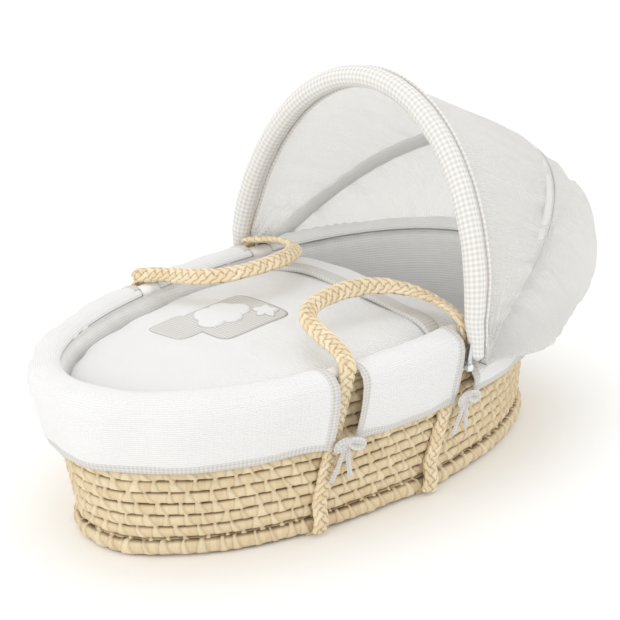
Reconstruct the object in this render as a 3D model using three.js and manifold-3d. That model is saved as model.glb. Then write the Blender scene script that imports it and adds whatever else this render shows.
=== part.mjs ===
// Moses basket: woven leaf-rope basket with two carrying handles, dressed with a quilted
// liner, skirt panels, mattress and quilt, and a two-hoop folding fabric hood.
// Millimetres. +X runs towards the head end, -Y is the near side, +Z is up.
// The origin is the centre of the underside, on the plane the basket stands on.
import * as THREE from 'three';
import { mergeVertices } from 'three/addons/utils/BufferGeometryUtils.js';
import Module from 'manifold-3d';

const wasm = await Module();
wasm.setup();

// ---- driving dimensions ----
const GAP = 0.3;
const BASE_A = 366;          // half length of the wall's outside at the base
const BASE_B = 183;          // half width there
const TOP_A = 395;           // half length at the top of the wall
const TOP_B = 211;           // half width there
const TOP_SHIFT = -16;       // the foot end flares more than the head end
const TAPER = 0.04;          // head end a little wider than the foot end
const SQUARE = 2.07;         // superellipse exponent of the plan
const RISE = 4.6;            // both ends of the rim stand this much higher
const WALL_TOP = 214;
const WALL_T = 16;
const FLOOR_T = 7;
const COIL_T = 8.7;
const COIL_H = 22;
const PAD_T = 8;
const RIM_TOP = 222;
const ROLL_TOP = 230;
const HEM_Z = 131;
const SLITS = [-132, 77];    // hand slits through the skirt, one per handle foot
const SLIT_W = 34;
const STRAP_W = 22;
const STRAP_T = 7.9;
const STRAP_FEET = [-153, 28];
const STRAP_TOPS = [-132, 75];
const UNDER_T = 4;
const MATTRESS_A = 336;
const MATTRESS_B = 154;
const MATTRESS_T = 41;
const PIVOT_X = 66;
const PIVOT_Z = 186;
const FRONT_ANGLE = 81.4;    // front hoop above the horizontal, degrees
const REAR_ANGLE = 31.5;
const FRONT_FOOT = 27;
const FRONT_H = 305;
const FRONT_W = 230;
const REAR_FOOT = 50;
const REAR_H = 323;
const REAR_W = 214;
const FRONT_ROD = 4;
const REAR_ROD = 3;
const SLEEVE_R = 15;
const CHANNEL_R = 7;
const SHELL_T = 2.4;
const PIN_R = 3;
const LUG_T = 4.5;
const LUG_R = 5.7;
const LUG_SPACE = 3.6;       // keeps the two rods clear of each other when the hood folds
const SEG = 56;              // sides of every oval ring

const object = new THREE.Group();

function material(color, roughness = 0.9, metalness = 0) {
  return new THREE.MeshStandardMaterial({ color, roughness, metalness });
}
const STRAW = material(0xc9a877, 0.85);
const ROPE = material(0xbf9a66, 0.85);
const COTTON = material(0xf2efe6, 0.95);
const GINGHAM = material(0xd9cdbb, 0.95);
const STEEL = material(0xb9bcc0, 0.35, 0.9);
const PLASTIC = material(0xe9e6de, 0.5);

// ---- helpers for solids ----
function welded(geometry) {
  const g = geometry.clone();
  g.deleteAttribute('normal');
  g.deleteAttribute('uv');
  return mergeVertices(g, 1e-4);
}

function toManifold(geometry) {
  const g = welded(geometry);
  const vertProperties = new Float32Array(g.attributes.position.array);
  const index = g.index.array;
  const tris = [];
  for (let i = 0; i < index.length; i += 3) {
    const [a, b, c] = [index[i], index[i + 1], index[i + 2]];
    if (a !== b && b !== c && c !== a) {
      tris.push(a, b, c);
    }
  }
  return new wasm.Manifold(new wasm.Mesh({ numProp: 3, vertProperties, triVerts: new Uint32Array(tris) }));
}

function fromManifold(solid) {
  const mesh = solid.getMesh();
  const g = new THREE.BufferGeometry();
  g.setAttribute('position', new THREE.BufferAttribute(mesh.vertProperties, 3));
  g.setIndex(new THREE.BufferAttribute(mesh.triVerts, 1));
  g.computeVertexNormals();
  return g;
}

// Moves every vertex; the sense of the triangles is put right afterwards.
function mapped(geometry, move) {
  const g = welded(geometry);
  const p = g.attributes.position;
  for (let i = 0; i < p.count; i++) {
    const [x, y, z] = move(p.getX(i), p.getY(i), p.getZ(i));
    p.setXYZ(i, x, y, z);
  }
  return facingOut(g);
}

function facingOut(g) {
  const p = g.attributes.position;
  const index = g.index.array;
  const [a, b, c] = [new THREE.Vector3(), new THREE.Vector3(), new THREE.Vector3()];
  let volume = 0;
  for (let i = 0; i < index.length; i += 3) {
    a.fromBufferAttribute(p, index[i]);
    b.fromBufferAttribute(p, index[i + 1]);
    c.fromBufferAttribute(p, index[i + 2]);
    volume += a.dot(b.cross(c));
  }
  if (volume < 0) {
    for (let i = 0; i < index.length; i += 3) {
      [index[i], index[i + 1]] = [index[i + 1], index[i]];
    }
  }
  return g;
}

function box(x0, x1, y0, y1, z0, z1) {
  const g = new THREE.BoxGeometry(x1 - x0, y1 - y0, z1 - z0);
  g.translate((x0 + x1) / 2, (y0 + y1) / 2, (z0 + z1) / 2);
  return g;
}

function add(name, geometry, mat) {
  const mesh = new THREE.Mesh(geometry, mat);
  mesh.name = name;
  object.add(mesh);
}

// ---- the basket's oval, flaring with height ----
function oval(d, z) {
  const u = z / WALL_TOP;
  return {
    a: BASE_A + (TOP_A - BASE_A) * u + d,
    b: BASE_B + (TOP_B - BASE_B) * u + d,
    shift: TOP_SHIFT * u,
    rise: z > 40 ? RISE * (z - 40) / (WALL_TOP - 40) : 0,
  };
}

function onOval(angle, d, z) {
  const o = oval(d, z);
  const c = Math.cos(angle);
  const s = Math.sin(angle);
  const cx = Math.sign(c) * Math.abs(c) ** (2 / SQUARE);
  const sy = Math.sign(s) * Math.abs(s) ** (2 / SQUARE);
  return [o.shift + o.a * cx, o.b * sy * (1 + TAPER * cx), z + o.rise * cx * cx];
}

// Half width of the oval at a given length position.
function halfWidth(x, d, z) {
  const o = oval(d, z);
  const q = Math.min(1, Math.abs((x - o.shift) / o.a));
  return o.b * (1 - q ** SQUARE) ** (1 / SQUARE) * (1 + TAPER * (x - o.shift) / o.a);
}

// Closed section of [offset, height] points swept round the oval.
function ovalRing(section) {
  const R = 1000;
  const points = [...section, section[0]].map(([d, z]) => new THREE.Vector2(R + d, z));
  const g = new THREE.LatheGeometry(points, SEG);
  return mapped(g, (x, y, z) => onOval(Math.atan2(z, x), Math.hypot(x, z) - R, y));
}

// Solid disc of the oval's plan between two heights.
function ovalDisc(d, z0, z1) {
  const points = [[0, z0], [1, z0], [1, z1], [0, z1]].map(([r, z]) => new THREE.Vector2(r, z));
  const g = new THREE.LatheGeometry(points, SEG);
  return mapped(g, (x, y, z) => {
    const r = Math.hypot(x, z);
    const p = onOval(Math.atan2(z, x), d, y);
    return [p[0] * r, p[1] * r, y];
  });
}

// Patch lying on the wall: across is along X, up is along Z, out is the offset.
function wallPatch(side, centre, width, heights, out0, out1) {
  const rows = heights.length - 1;
  const g = new THREE.BoxGeometry(1, 1, 1, 2, 1, rows);
  return mapped(g, (u, v, w) => {
    const z = heights[Math.round((w + 0.5) * rows)];
    const x = centre(z) + width * u;
    const d = v > 0 ? out1(z) : out0(z);
    const rise = z > 40 ? oval(0, z).rise * ((x - oval(0, z).shift) / oval(d, z).a) ** 2 : 0;
    return [x, side * halfWidth(x, d, z), z + rise];
  });
}

// ---- woven basket: floor, foot coil, wall and rim ----
const underStraps = STRAP_FEET.map((x) => [x - STRAP_W / 2, x + STRAP_W / 2]);
function withStrapGrooves(geometry) {
  let solid = toManifold(geometry);
  for (const [x0, x1] of underStraps) {
    solid = solid.subtract(toManifold(box(x0 - GAP, x1 + GAP, -260, 260, -5, UNDER_T + GAP)));
  }
  return fromManifold(solid);
}
add('basket_floor', withStrapGrooves(ovalDisc(0, 0, FLOOR_T)), STRAW);

add('foot_coil', withStrapGrooves(ovalRing([
  [GAP, 0], [GAP + 6, 0], [GAP + COIL_T, 5], [GAP + COIL_T, 17], [GAP + 6, COIL_H], [GAP, COIL_H],
])), STRAW);

add('basket_wall', ovalRing([
  [-WALL_T, FLOOR_T + GAP], [0, FLOOR_T + GAP], [0, 75], [0, 145], [0, WALL_TOP],
  [-WALL_T, WALL_TOP], [-WALL_T, 145], [-WALL_T, 75],
]), STRAW);

add('rim_coil', ovalRing([
  [-WALL_T, WALL_TOP + GAP], [0, WALL_TOP + GAP], [0, RIM_TOP - 3], [-4, RIM_TOP],
  [-WALL_T + 4, RIM_TOP], [-WALL_T, RIM_TOP - 3],
]), STRAW);

// ---- liner: padded inner wall, roll over the rim, floor cloth ----
const PAD_OUT = -WALL_T - GAP;
const PAD_IN = PAD_OUT - PAD_T;
add('liner_pad', ovalRing([
  [PAD_IN, FLOOR_T + GAP], [PAD_OUT, FLOOR_T + GAP], [PAD_OUT, 75], [PAD_OUT, 145], [PAD_OUT, RIM_TOP],
  [PAD_IN, RIM_TOP], [PAD_IN, 145], [PAD_IN, 75],
]), COTTON);

add('rim_roll', ovalRing([
  [PAD_IN - 2, RIM_TOP + GAP], [-1, RIM_TOP + GAP], [-1, ROLL_TOP - 4], [-6, ROLL_TOP],
  [PAD_IN + 4, ROLL_TOP - 0.5], [PAD_IN - 2, ROLL_TOP - 4],
]), COTTON);

add('liner_floor', ovalDisc(PAD_IN - GAP, FLOOR_T + GAP, FLOOR_T + 2), COTTON);

// ---- skirt panels, parted at the four hand slits ----
const skirt = toManifold(ovalRing([
  [8.7, HEM_Z], [13.6, HEM_Z], [16, 165], [18.6, 195], [18.6, 212], [15, 222], [8, 228], [GAP, 228],
  [GAP, 214], [8.7, 203], [8.7, 165],
]));
function slitBox(x) {
  return box(x - SLIT_W / 2, x + SLIT_W / 2, -300, 300, 100, 260);
}
// The head panel's upper corners are cut back where the hood's rear hoop goes down.
const cornerPoints = [[50, 158], [97, 160], [272, 236], [50, 242]];
const corner = new THREE.Shape(cornerPoints.map(([x, z]) => new THREE.Vector2(x, z)));
const cornerCut = new THREE.ExtrudeGeometry(corner, { depth: 600, bevelEnabled: false });
cornerCut.rotateX(Math.PI / 2);
cornerCut.translate(0, 300, 0);
const parted = skirt.subtract(toManifold(slitBox(SLITS[0]))).subtract(toManifold(slitBox(SLITS[1])));
const panels = {
  skirt_foot: box(-500, SLITS[0], -300, 300, 100, 260),
  skirt_middle_near: box(SLITS[0], SLITS[1], -300, 0, 100, 260),
  skirt_middle_far: box(SLITS[0], SLITS[1], 0, 300, 100, 260),
  skirt_head: box(SLITS[1], 500, -300, 300, 100, 260),
};
for (const [name, region] of Object.entries(panels)) {
  let panel = parted.intersect(toManifold(region));
  if (name === 'skirt_head') {
    panel = panel.subtract(toManifold(cornerCut));
  }
  add(name, fromManifold(panel), COTTON);
}

// ---- carrying straps: up the wall through the slits, and under the base ----
const ends = ['foot', 'head'];
const sides = [['near', -1], ['far', 1]];
const strapTop = ROLL_TOP + 2;
ends.forEach((end, i) => {
  const centre = (z) => STRAP_FEET[i] + (STRAP_TOPS[i] - STRAP_FEET[i]) * z / WALL_TOP;
  const overCoil = COIL_T + 3 * GAP;
  const inner = (z) => Math.max(0.4, Math.min(overCoil, overCoil - (z - COIL_H - 4) * 0.8));
  const outer = (z) => inner(z) + STRAP_T;
  const climb = Array.from({ length: 11 }, (_, k) => 38 + (strapTop - 38) * k / 10);
  const heights = [0, COIL_H / 2, COIL_H + 4, ...climb];
  sides.forEach(([side, s]) => {
    add(`strap_${side}_${end}`, wallPatch(s, centre, STRAP_W, heights, inner, outer), ROPE);
  });
  const reach = (s) => s * halfWidth(STRAP_FEET[i] + (i ? 11 : -11), COIL_T + GAP, 0);
  add(`strap_under_${end}`, box(...underStraps[i], reach(-1), reach(1), 0, UNDER_T), ROPE);
});

// ---- handle loops, lying inwards over the quilt ----
const HANDLE_TILT = 10;
const HANDLE_Y = 211;
const HANDLE_Z = 240;
const handlePath = [
  [-132, 0], [-126, 12], [-117, 26], [-111, 52], [-106, 88], [-94, 118], [-70, 136], [-38, 143], [0, 144],
  [31, 137], [57, 121], [75, 98], [85, 68], [86, 38], [80, 14], [75, 0],
];
function handle(side) {
  const tilt = HANDLE_TILT * Math.PI / 180;
  const points = handlePath.map(([x, r]) => {
    return new THREE.Vector3(x, side * (HANDLE_Y - r * Math.cos(tilt)), HANDLE_Z + r * Math.sin(tilt));
  });
  const path = new THREE.CatmullRomCurve3(points, false, 'centripetal');
  const half = STRAP_W / 2;
  const thick = 4.3;
  const rows = 36;
  const g = new THREE.BoxGeometry(1, 1, 1, 2, 1, rows);
  return mapped(g, (u, v, w) => {
    const t = w + 0.5;
    const p = path.getPoint(t);
    const tangent = path.getTangent(t);
    const up = new THREE.Vector3(0, side * Math.sin(tilt), Math.cos(tilt));
    const across = tangent.clone().cross(up).normalize();
    const normal = across.clone().cross(tangent).normalize();
    const swell = 1 - 0.35 * Math.abs(u * 2) ** 3;
    return p.addScaledVector(across, u * 2 * half).addScaledVector(normal, v * 2 * thick * swell).toArray();
  });
}
add('handle_near', handle(-1), ROPE);
add('handle_far', handle(1), ROPE);

// ---- ties across the slits: a knot, two loops and two tails each ----
function tie(side, x) {
  const z = 141;
  const y = halfWidth(x, 21.3, z);
  const knot = new THREE.SphereGeometry(6, 12, 8);
  knot.scale(1.2, 0.75, 1);
  knot.translate(x, side * y, z);
  let solid = toManifold(knot);
  for (const turn of [-1, 1]) {
    const loop = new THREE.TorusGeometry(10, 2.2, 6, 14);
    loop.scale(1.3, 0.8, 1);
    loop.rotateX(Math.PI / 2);
    loop.rotateY(turn * 0.35);
    loop.translate(x + turn * 15, side * y, z - 2);
    solid = solid.add(toManifold(loop));
    const curve = new THREE.CatmullRomCurve3([0, 0.35, 0.7, 1].map((t) => new THREE.Vector3(
      x + turn * (2 + 9 * t), side * halfWidth(x, 21.3 - 2 * t, z - 62 * t), z - 62 * t)));
    const strip = new THREE.Shape([[-1, -4], [1, -4], [1, 4], [-1, 4]].map(([p, q]) => new THREE.Vector2(p, q)));
    const tail = new THREE.BoxGeometry(8, 2, 1, 1, 1, 6);
    const bent = mapped(tail, (u, v, w) => {
      const p = curve.getPoint(w + 0.5);
      return [p.x + u, p.y + v, p.z];
    });
    solid = solid.add(toManifold(bent));
  }
  return fromManifold(solid);
}
sides.forEach(([side, s]) => {
  SLITS.forEach((x, i) => add(`tie_${side}_${ends[i]}`, tie(s, x), GINGHAM));
});

// ---- mattress, quilt, its turned-back top and the cloud patch sewn on it ----
const mattressZ = FLOOR_T + 2 + GAP;
const mattressSection = [
  [0, 0], [0.985, 0], [1, 6], [1, MATTRESS_T - 8], [0.985, MATTRESS_T - 2], [0.96, MATTRESS_T], [0, MATTRESS_T],
].map(([r, z]) => new THREE.Vector2(r, z));
add('mattress', mapped(new THREE.LatheGeometry(mattressSection, SEG), (x, y, z) => {
  const r = Math.hypot(x, z);
  const angle = Math.atan2(z, x);
  const c = Math.cos(angle);
  const s = Math.sin(angle);
  const n = 2 / 2.2;
  return [MATTRESS_A * r * Math.sign(c) * Math.abs(c) ** n, MATTRESS_B * r * Math.sign(s) * Math.abs(s) ** n,
    mattressZ + y];
}), COTTON);

const QUILT_Z = mattressZ + MATTRESS_T + GAP;
const QUILT_HEAD = 124;
const QUILT_H = 171;
const QUILT_T = 20;
function quiltFoot(inset) {
  const o = oval(PAD_IN - 2 - inset, QUILT_Z);
  return o.shift - o.a;
}
// A point on the quilt's outside: it follows the liner at every height, with a flat top.
function quiltPoint(x, v, inset) {
  const foot = quiltFoot(inset);
  const q = Math.max(0, Math.min(0.9995, (-60 - x) / (-60 - foot)));
  const h = (QUILT_H - inset) * (1 - q ** 6) ** (1 / 6);
  const a = v * Math.PI / 2;
  const z = QUILT_Z + h * Math.cos(a) ** 0.28;
  const o = oval(PAD_IN - 2 - inset, z);
  const along = x < -60 ? -60 + (x + 60) * (-60 - (o.shift - o.a)) / (-60 - foot) : x;
  const y = halfWidth(along, PAD_IN - 2 - inset, z) * Math.sign(Math.sin(a)) * Math.abs(Math.sin(a)) ** 0.4;
  return [along, y, z];
}
add('quilt', mapped(new THREE.BoxGeometry(2, 2, 1, 16, 18, 1), (u, v, w) => {
  const inset = w > 0 ? 0 : QUILT_T;
  const foot = quiltFoot(inset) + 0.5;
  const t = (u + 1) / 2;
  const x = foot + (QUILT_HEAD - foot) * t ** 1.25 - 26 * Math.abs(v) ** 2.5 * t ** 3;
  return quiltPoint(x, v, inset);
}), COTTON);

function onQuilt(x, v, out) {
  const p = quiltPoint(x - 26 * Math.abs(v) ** 2.5 * Math.min(1, Math.max(0, (x + 60) / 184)), v, -out);
  return p;
}
add('quilt_turnback', mapped(new THREE.BoxGeometry(2, 2, 1, 4, 16, 1), (u, v, w) => (
  onQuilt(94 + 28 * u, v * 0.62, w > 0 ? 9 : 0.8)
)), GINGHAM);

const patchOutline = new THREE.Shape();
patchOutline.absellipse(0, 0, 58, 42, 0, Math.PI * 2);
add('quilt_patch', mapped(new THREE.BoxGeometry(2, 2, 1, 8, 8, 1), (u, v, w) => {
  const x = -120 + 60 * u * Math.sqrt(1 - v * v / 2);
  const across = v * Math.sqrt(1 - u * u / 2);
  return quiltPoint(x, 0.09 * Math.sign(across) * Math.abs(across) ** 2.5, w > 0 ? -3 : -0.9);
}), GINGHAM);

// ---- hood: pivot brackets on the head straps, two wire hoops ----
const lugStart = halfWidth(PIVOT_X, 12.2, PIVOT_Z + 11) + 0.4;
const rearLug = [lugStart, lugStart + LUG_T];
const frontLug = [lugStart + LUG_T + LUG_SPACE, lugStart + 2 * LUG_T + LUG_SPACE];
function cylinderY(r, y0, y1, x, z, seg = 32) {
  const g = new THREE.CylinderGeometry(r, r, Math.abs(y1 - y0), seg);
  g.translate(x, (y0 + y1) / 2, z);
  return g;
}
sides.forEach(([side, s]) => {
  const heights = [PIVOT_Z - 10, PIVOT_Z, PIVOT_Z + 10];
  const plate = wallPatch(s, () => PIVOT_X + 3, 17, heights, () => 8.7, () => 12);
  const pinRoot = s * (lugStart - 3.5);
  const pin = cylinderY(PIN_R, pinRoot, s * (frontLug[1] + 0.4), PIVOT_X, PIVOT_Z);
  const head = cylinderY(4.4, s * (frontLug[1] + 0.4), s * (frontLug[1] + 2.9), PIVOT_X, PIVOT_Z);
  add(`hood_bracket_${side}`, fromManifold(toManifold(plate).add(toManifold(pin)).add(toManifold(head))), PLASTIC);
});

// A hoop: straight legs from the pivots, then a half superellipse. Returns points from near to far.
function hoopPoint(hoop, angle, out = 0) {
  const c = Math.cos(angle);
  const s = Math.sin(angle);
  const along = hoop.foot + (hoop.h + out) * Math.max(0, s) ** (2 / hoop.n);
  const y = -(hoop.w + out) * Math.sign(c) * Math.abs(c) ** (2 / hoop.n);
  const a = hoop.angle * Math.PI / 180;
  return new THREE.Vector3(PIVOT_X + along * Math.cos(a), y, PIVOT_Z + along * Math.sin(a));
}
const FRONT = { foot: FRONT_FOOT, h: FRONT_H, w: FRONT_W, n: 2, angle: FRONT_ANGLE, lug: frontLug, r: FRONT_ROD };
const REAR = { foot: REAR_FOOT, h: REAR_H, w: REAR_W, n: 2.1, angle: REAR_ANGLE, lug: rearLug, r: REAR_ROD };

function hoopCurve(hoop, from, to, legs) {
  const points = [];
  const a = hoop.angle * Math.PI / 180;
  const mid = (hoop.lug[0] + hoop.lug[1]) / 2;
  const leg = (s, along) => new THREE.Vector3(PIVOT_X + along * Math.cos(a), s * mid, PIVOT_Z + along * Math.sin(a));
  if (legs) {
    points.push(leg(-1, 9), leg(-1, 15));
  }
  const count = 24;
  for (let i = 0; i <= count; i++) {
    points.push(hoopPoint(hoop, from + (to - from) * i / count));
  }
  if (legs) {
    points.push(leg(1, 15), leg(1, 9));
  }
  return new THREE.CatmullRomCurve3(points, false, 'centripetal');
}
function circle(r, hole = 0, seg = 12) {
  const ring = (q) => Array.from({ length: seg }, (_, i) => (
    new THREE.Vector2(q * Math.cos(2 * Math.PI * i / seg), q * Math.sin(2 * Math.PI * i / seg))));
  const shape = new THREE.Shape(ring(r));
  if (hole) {
    shape.holes.push(new THREE.Path(ring(hole).reverse()));
  }
  return shape;
}
function tube(shape, path, steps) {
  return new THREE.ExtrudeGeometry(shape, { extrudePath: path, steps, bevelEnabled: false });
}
function hoopRod(hoop) {
  let solid = toManifold(tube(circle(hoop.r, 0, 10), hoopCurve(hoop, 0, Math.PI, true), 52));
  for (const s of [-1, 1]) {
    const neck = new THREE.BoxGeometry(12, LUG_T, 7);
    neck.translate(6, s * (hoop.lug[0] + hoop.lug[1]) / 2, 0);
    neck.rotateY(-hoop.angle * Math.PI / 180);
    neck.translate(PIVOT_X, 0, PIVOT_Z);
    const lug = cylinderY(LUG_R, s * hoop.lug[0], s * hoop.lug[1], PIVOT_X, PIVOT_Z);
    solid = solid.add(toManifold(neck)).add(toManifold(lug));
    solid = solid.subtract(toManifold(cylinderY(PIN_R + 0.06, s * (hoop.lug[0] - 4), s * (hoop.lug[1] + 4), PIVOT_X, PIVOT_Z)));
  }
  return fromManifold(solid);
}
add('hood_front_hoop', hoopRod(FRONT), STEEL);
add('hood_rear_hoop', hoopRod(REAR), STEEL);

// Padded gingham sleeve on the front hoop, cloth channel on the rear one.
const SLEEVE_FROM = 0.15;
const CHANNEL_FROM = 0.07;
add('hood_sleeve', tube(circle(SLEEVE_R, FRONT_ROD + 0.8), hoopCurve(FRONT, SLEEVE_FROM, Math.PI - SLEEVE_FROM, false), 40), GINGHAM);
add('hood_channel', tube(circle(CHANNEL_R, REAR_ROD + 0.8), hoopCurve(REAR, CHANNEL_FROM, Math.PI - CHANNEL_FROM, false), 40), COTTON);

// ---- canopy: front panel between the hoops, rear panel down to the hem round the head end ----
function shell(inside, rowsV) {
  const g = new THREE.BoxGeometry(1, 1, 1, 8, 30, 1);
  return mapped(g, (u, v, w) => inside(u + 0.5, v + 0.5, w > 0 ? SHELL_T : 0));
}
add('canopy_front', shell((u, v, out) => {
  const angle = 0.2 + (Math.PI - 0.4) * v;
  const f = hoopPoint(FRONT, angle, out);
  const r = hoopPoint(REAR, angle, out);
  const span = f.distanceTo(r);
  const t0 = (SLEEVE_R + 0.6) / span;
  const t1 = 1 - (CHANNEL_R + 4) / span;
  const t = t0 + (t1 - t0) * u;
  const p = f.clone().lerp(r, t);
  const swell = 14 * Math.sin(Math.PI * t) * Math.sin(angle) ** 0.5;
  const a = (FRONT_ANGLE - 8) * Math.PI / 180;
  p.x += swell * Math.cos(a) * Math.sin(angle);
  p.z += swell * Math.sin(a) * Math.sin(angle);
  p.y *= 1 + 0.03 * Math.sin(Math.PI * t) * Math.abs(Math.cos(angle));
  return p.toArray();
}), COTTON);

const HOOD_HEM_Z = 187;
// The hem's run round the head end, v from the near side to the far side.
function hemPoint(v, out) {
  const q = 2 * v - 1;
  const angle = q * 1.16;
  const [x, y, z] = onOval(angle, 21 + out, HOOD_HEM_Z);
  return new THREE.Vector3(x, y, z);
}
add('canopy_rear', shell((u, v, out) => {
  const angle = 0.25 + (Math.PI - 0.5) * v;
  const top = hoopPoint(REAR, angle, out);
  const hem = hemPoint(v, out);
  const span = top.distanceTo(hem);
  const t = (CHANNEL_R + 0.6) / span + (1 - (CHANNEL_R + 0.6) / span) * u;
  const bulge = Math.sin(Math.PI * Math.min(1, t)) ** 0.8;
  const p = top.clone().lerp(hem, t);
  const round = Math.sin(angle);
  p.x += (78 * round + 8) * bulge;
  p.z += 16 * round * Math.sin(Math.PI * t) - 6 * t * t;
  p.y *= 1 + 0.1 * bulge;
  return p.toArray();
}), COTTON);

const elasticPath = new THREE.CatmullRomCurve3(Array.from({ length: 33 }, (_, i) => {
  const p = hemPoint(i / 32, 1);
  p.z -= 10.5;
  return p;
}), false, 'centripetal');
add('hood_elastic', tube(circle(2.6, 0, 10), elasticPath, 40), COTTON);

export default object;
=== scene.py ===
"""A dressed moses basket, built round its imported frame. Metres, +X towards the head end, -Y the near side."""

import math

import bpy
import numpy as np
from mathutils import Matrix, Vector


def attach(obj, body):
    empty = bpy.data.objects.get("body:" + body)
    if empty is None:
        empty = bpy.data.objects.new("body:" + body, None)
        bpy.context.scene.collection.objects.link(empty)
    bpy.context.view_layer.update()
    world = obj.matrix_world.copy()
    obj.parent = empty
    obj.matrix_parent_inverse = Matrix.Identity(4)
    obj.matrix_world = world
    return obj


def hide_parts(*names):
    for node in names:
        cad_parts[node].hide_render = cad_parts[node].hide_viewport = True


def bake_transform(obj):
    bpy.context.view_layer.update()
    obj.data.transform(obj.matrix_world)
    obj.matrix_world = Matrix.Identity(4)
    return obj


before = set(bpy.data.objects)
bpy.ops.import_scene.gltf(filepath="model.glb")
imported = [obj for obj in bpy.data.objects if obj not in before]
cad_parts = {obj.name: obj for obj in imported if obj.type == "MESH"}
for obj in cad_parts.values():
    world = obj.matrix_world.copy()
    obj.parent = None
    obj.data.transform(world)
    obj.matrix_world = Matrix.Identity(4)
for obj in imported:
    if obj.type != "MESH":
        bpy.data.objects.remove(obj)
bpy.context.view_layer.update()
bpy.ops.object.select_all(action="DESELECT")

# ---- camera, floor and light ----
# A long lens at a little over a metre high looks down on the near foot corner. A white sweep of floor,
# one broad window-like key light from the near left, a fill from the right and a soft top light.
AIM = Vector((0.0, 0.0, 0.2146))
CAMERA_TURN = math.radians(-42.97)
CAMERA_RISE = math.radians(22.69)
CAMERA_AWAY = 2.476
towards = Vector(
    (
        math.sin(CAMERA_TURN) * math.cos(CAMERA_RISE),
        -math.cos(CAMERA_TURN) * math.cos(CAMERA_RISE),
        math.sin(CAMERA_RISE),
    )
)
bpy.ops.object.camera_add(location=AIM + towards * CAMERA_AWAY)
camera = bpy.context.object
camera.rotation_euler = towards.to_track_quat("Z", "Y").to_euler()
camera.data.lens = 106.5
camera.data.clip_end = 50
bpy.context.scene.camera = camera
bpy.context.scene.view_settings.view_transform = "Standard"

bpy.ops.mesh.primitive_plane_add(size=30, location=(0, 0, -0.0005))
floor = bpy.context.object
floor.name = "floor"
floor_paint = bpy.data.materials.new("floor_paint")
floor_paint.use_nodes = True
floor_paint.node_tree.nodes["Principled BSDF"].inputs["Base Color"].default_value = (0.97, 0.97, 0.965, 1)
floor_paint.node_tree.nodes["Principled BSDF"].inputs["Roughness"].default_value = 0.8
floor.data.materials.append(floor_paint)


def soft_light(name, place, aim, size, power):
    bpy.ops.object.light_add(type="AREA", location=place)
    lamp = bpy.context.object
    lamp.name = name
    lamp.data.size = size
    lamp.data.energy = power
    lamp.rotation_euler = (Vector(place) - Vector(aim)).to_track_quat("Z", "Y").to_euler()


soft_light("key_light", (-2.6, -1.6, 2.4), (0, 0, 0.15), 2.0, 6)
soft_light("fill_light", (1.9, -2.6, 1.7), (0, 0, 0.2), 2.4, 7)
soft_light("top_light", (0.2, 0.4, 3.0), (0, 0, 0.2), 2.2, 11)
soft_light("mouth_light", (-2.4, -0.2, 1.25), (0.3, 0, 0.3), 1.4, 10)
world = bpy.data.worlds.new("studio")
world.use_nodes = True
world.node_tree.nodes["Background"].inputs["Color"].default_value = (1, 0.995, 0.985, 1)
world.node_tree.nodes["Background"].inputs["Strength"].default_value = 1.0
bpy.context.scene.world = world


# ---- woven wall ----
# Twelve courses of dried leaf, each a core wrapped in leaf and bound to the course below by splayed
# stitches, so slots show between the courses, with painted shade in them. The wall flares, most at the foot end.
WALL_HEIGHT = 0.214
FOOT_OVAL = (0.366, 0.183)  # half length and half width of the wall's outside, at the floor
FLARE = (0.029, 0.028)  # how much larger each is at the rim
RIM_SHIFT = -0.016  # how far the rim sits towards the foot end
END_RISE = 0.0046  # how much higher the rim is at its two ends
OVAL_POWER = 2.07
HEAD_SWELL = 0.04  # the head end is broader than the foot end by this share


def oval_size(out, height):
    """Half length, half width and shift of the oval, at an offset from the wall's outside."""
    share = height / WALL_HEIGHT
    return FOOT_OVAL[0] + FLARE[0] * share + out, FOOT_OVAL[1] + FLARE[1] * share + out, RIM_SHIFT * share


def wall_oval(angle, out, height):
    """Points on the basket's oval, at an offset from the wall's outside."""
    length, width, shift = oval_size(out, height)
    rise = END_RISE * np.maximum(0, height - 0.04) / 0.174
    c, s = np.cos(angle), np.sin(angle)
    cx = np.sign(c) * np.abs(c) ** (2 / OVAL_POWER)
    sy = np.sign(s) * np.abs(s) ** (2 / OVAL_POWER)
    return np.stack([shift + length * cx, width * sy * (1 + HEAD_SWELL * cx), height + rise * cx * cx], -1)


def angle_at(x, out, height):
    """The oval's angle on the far side where it passes a length position."""
    length, _, shift = oval_size(out, height)
    cx = np.clip((x - shift) / length, -1, 1)
    return np.arccos(np.sign(cx) * np.abs(cx) ** (OVAL_POWER / 2))


def even_round(fractions, height=0.1):
    """Oval angles spaced evenly by length along the rim, starting on the far side."""
    fine = np.linspace(0, 2 * math.pi, 1441) + 1.9
    ring = wall_oval(fine, 0.0, np.full_like(fine, height))
    run = np.concatenate([[0], np.cumsum(np.linalg.norm(np.diff(ring, axis=0), axis=1))])
    return np.interp(fractions, run / run[-1], fine)


def ripple(points, seed, waves=9, low=20.0, high=70.0):
    """Smooth random waves through space, about -1 to 1; low and high are radians per metre."""
    dice = np.random.default_rng(seed)
    total = np.zeros(len(points))
    for _ in range(waves):
        way = dice.normal(size=3)
        way *= dice.uniform(low, high) / np.linalg.norm(way)
        total += np.sin(points @ way + dice.uniform(0, 2 * math.pi))
    return total / math.sqrt(waves)


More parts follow.
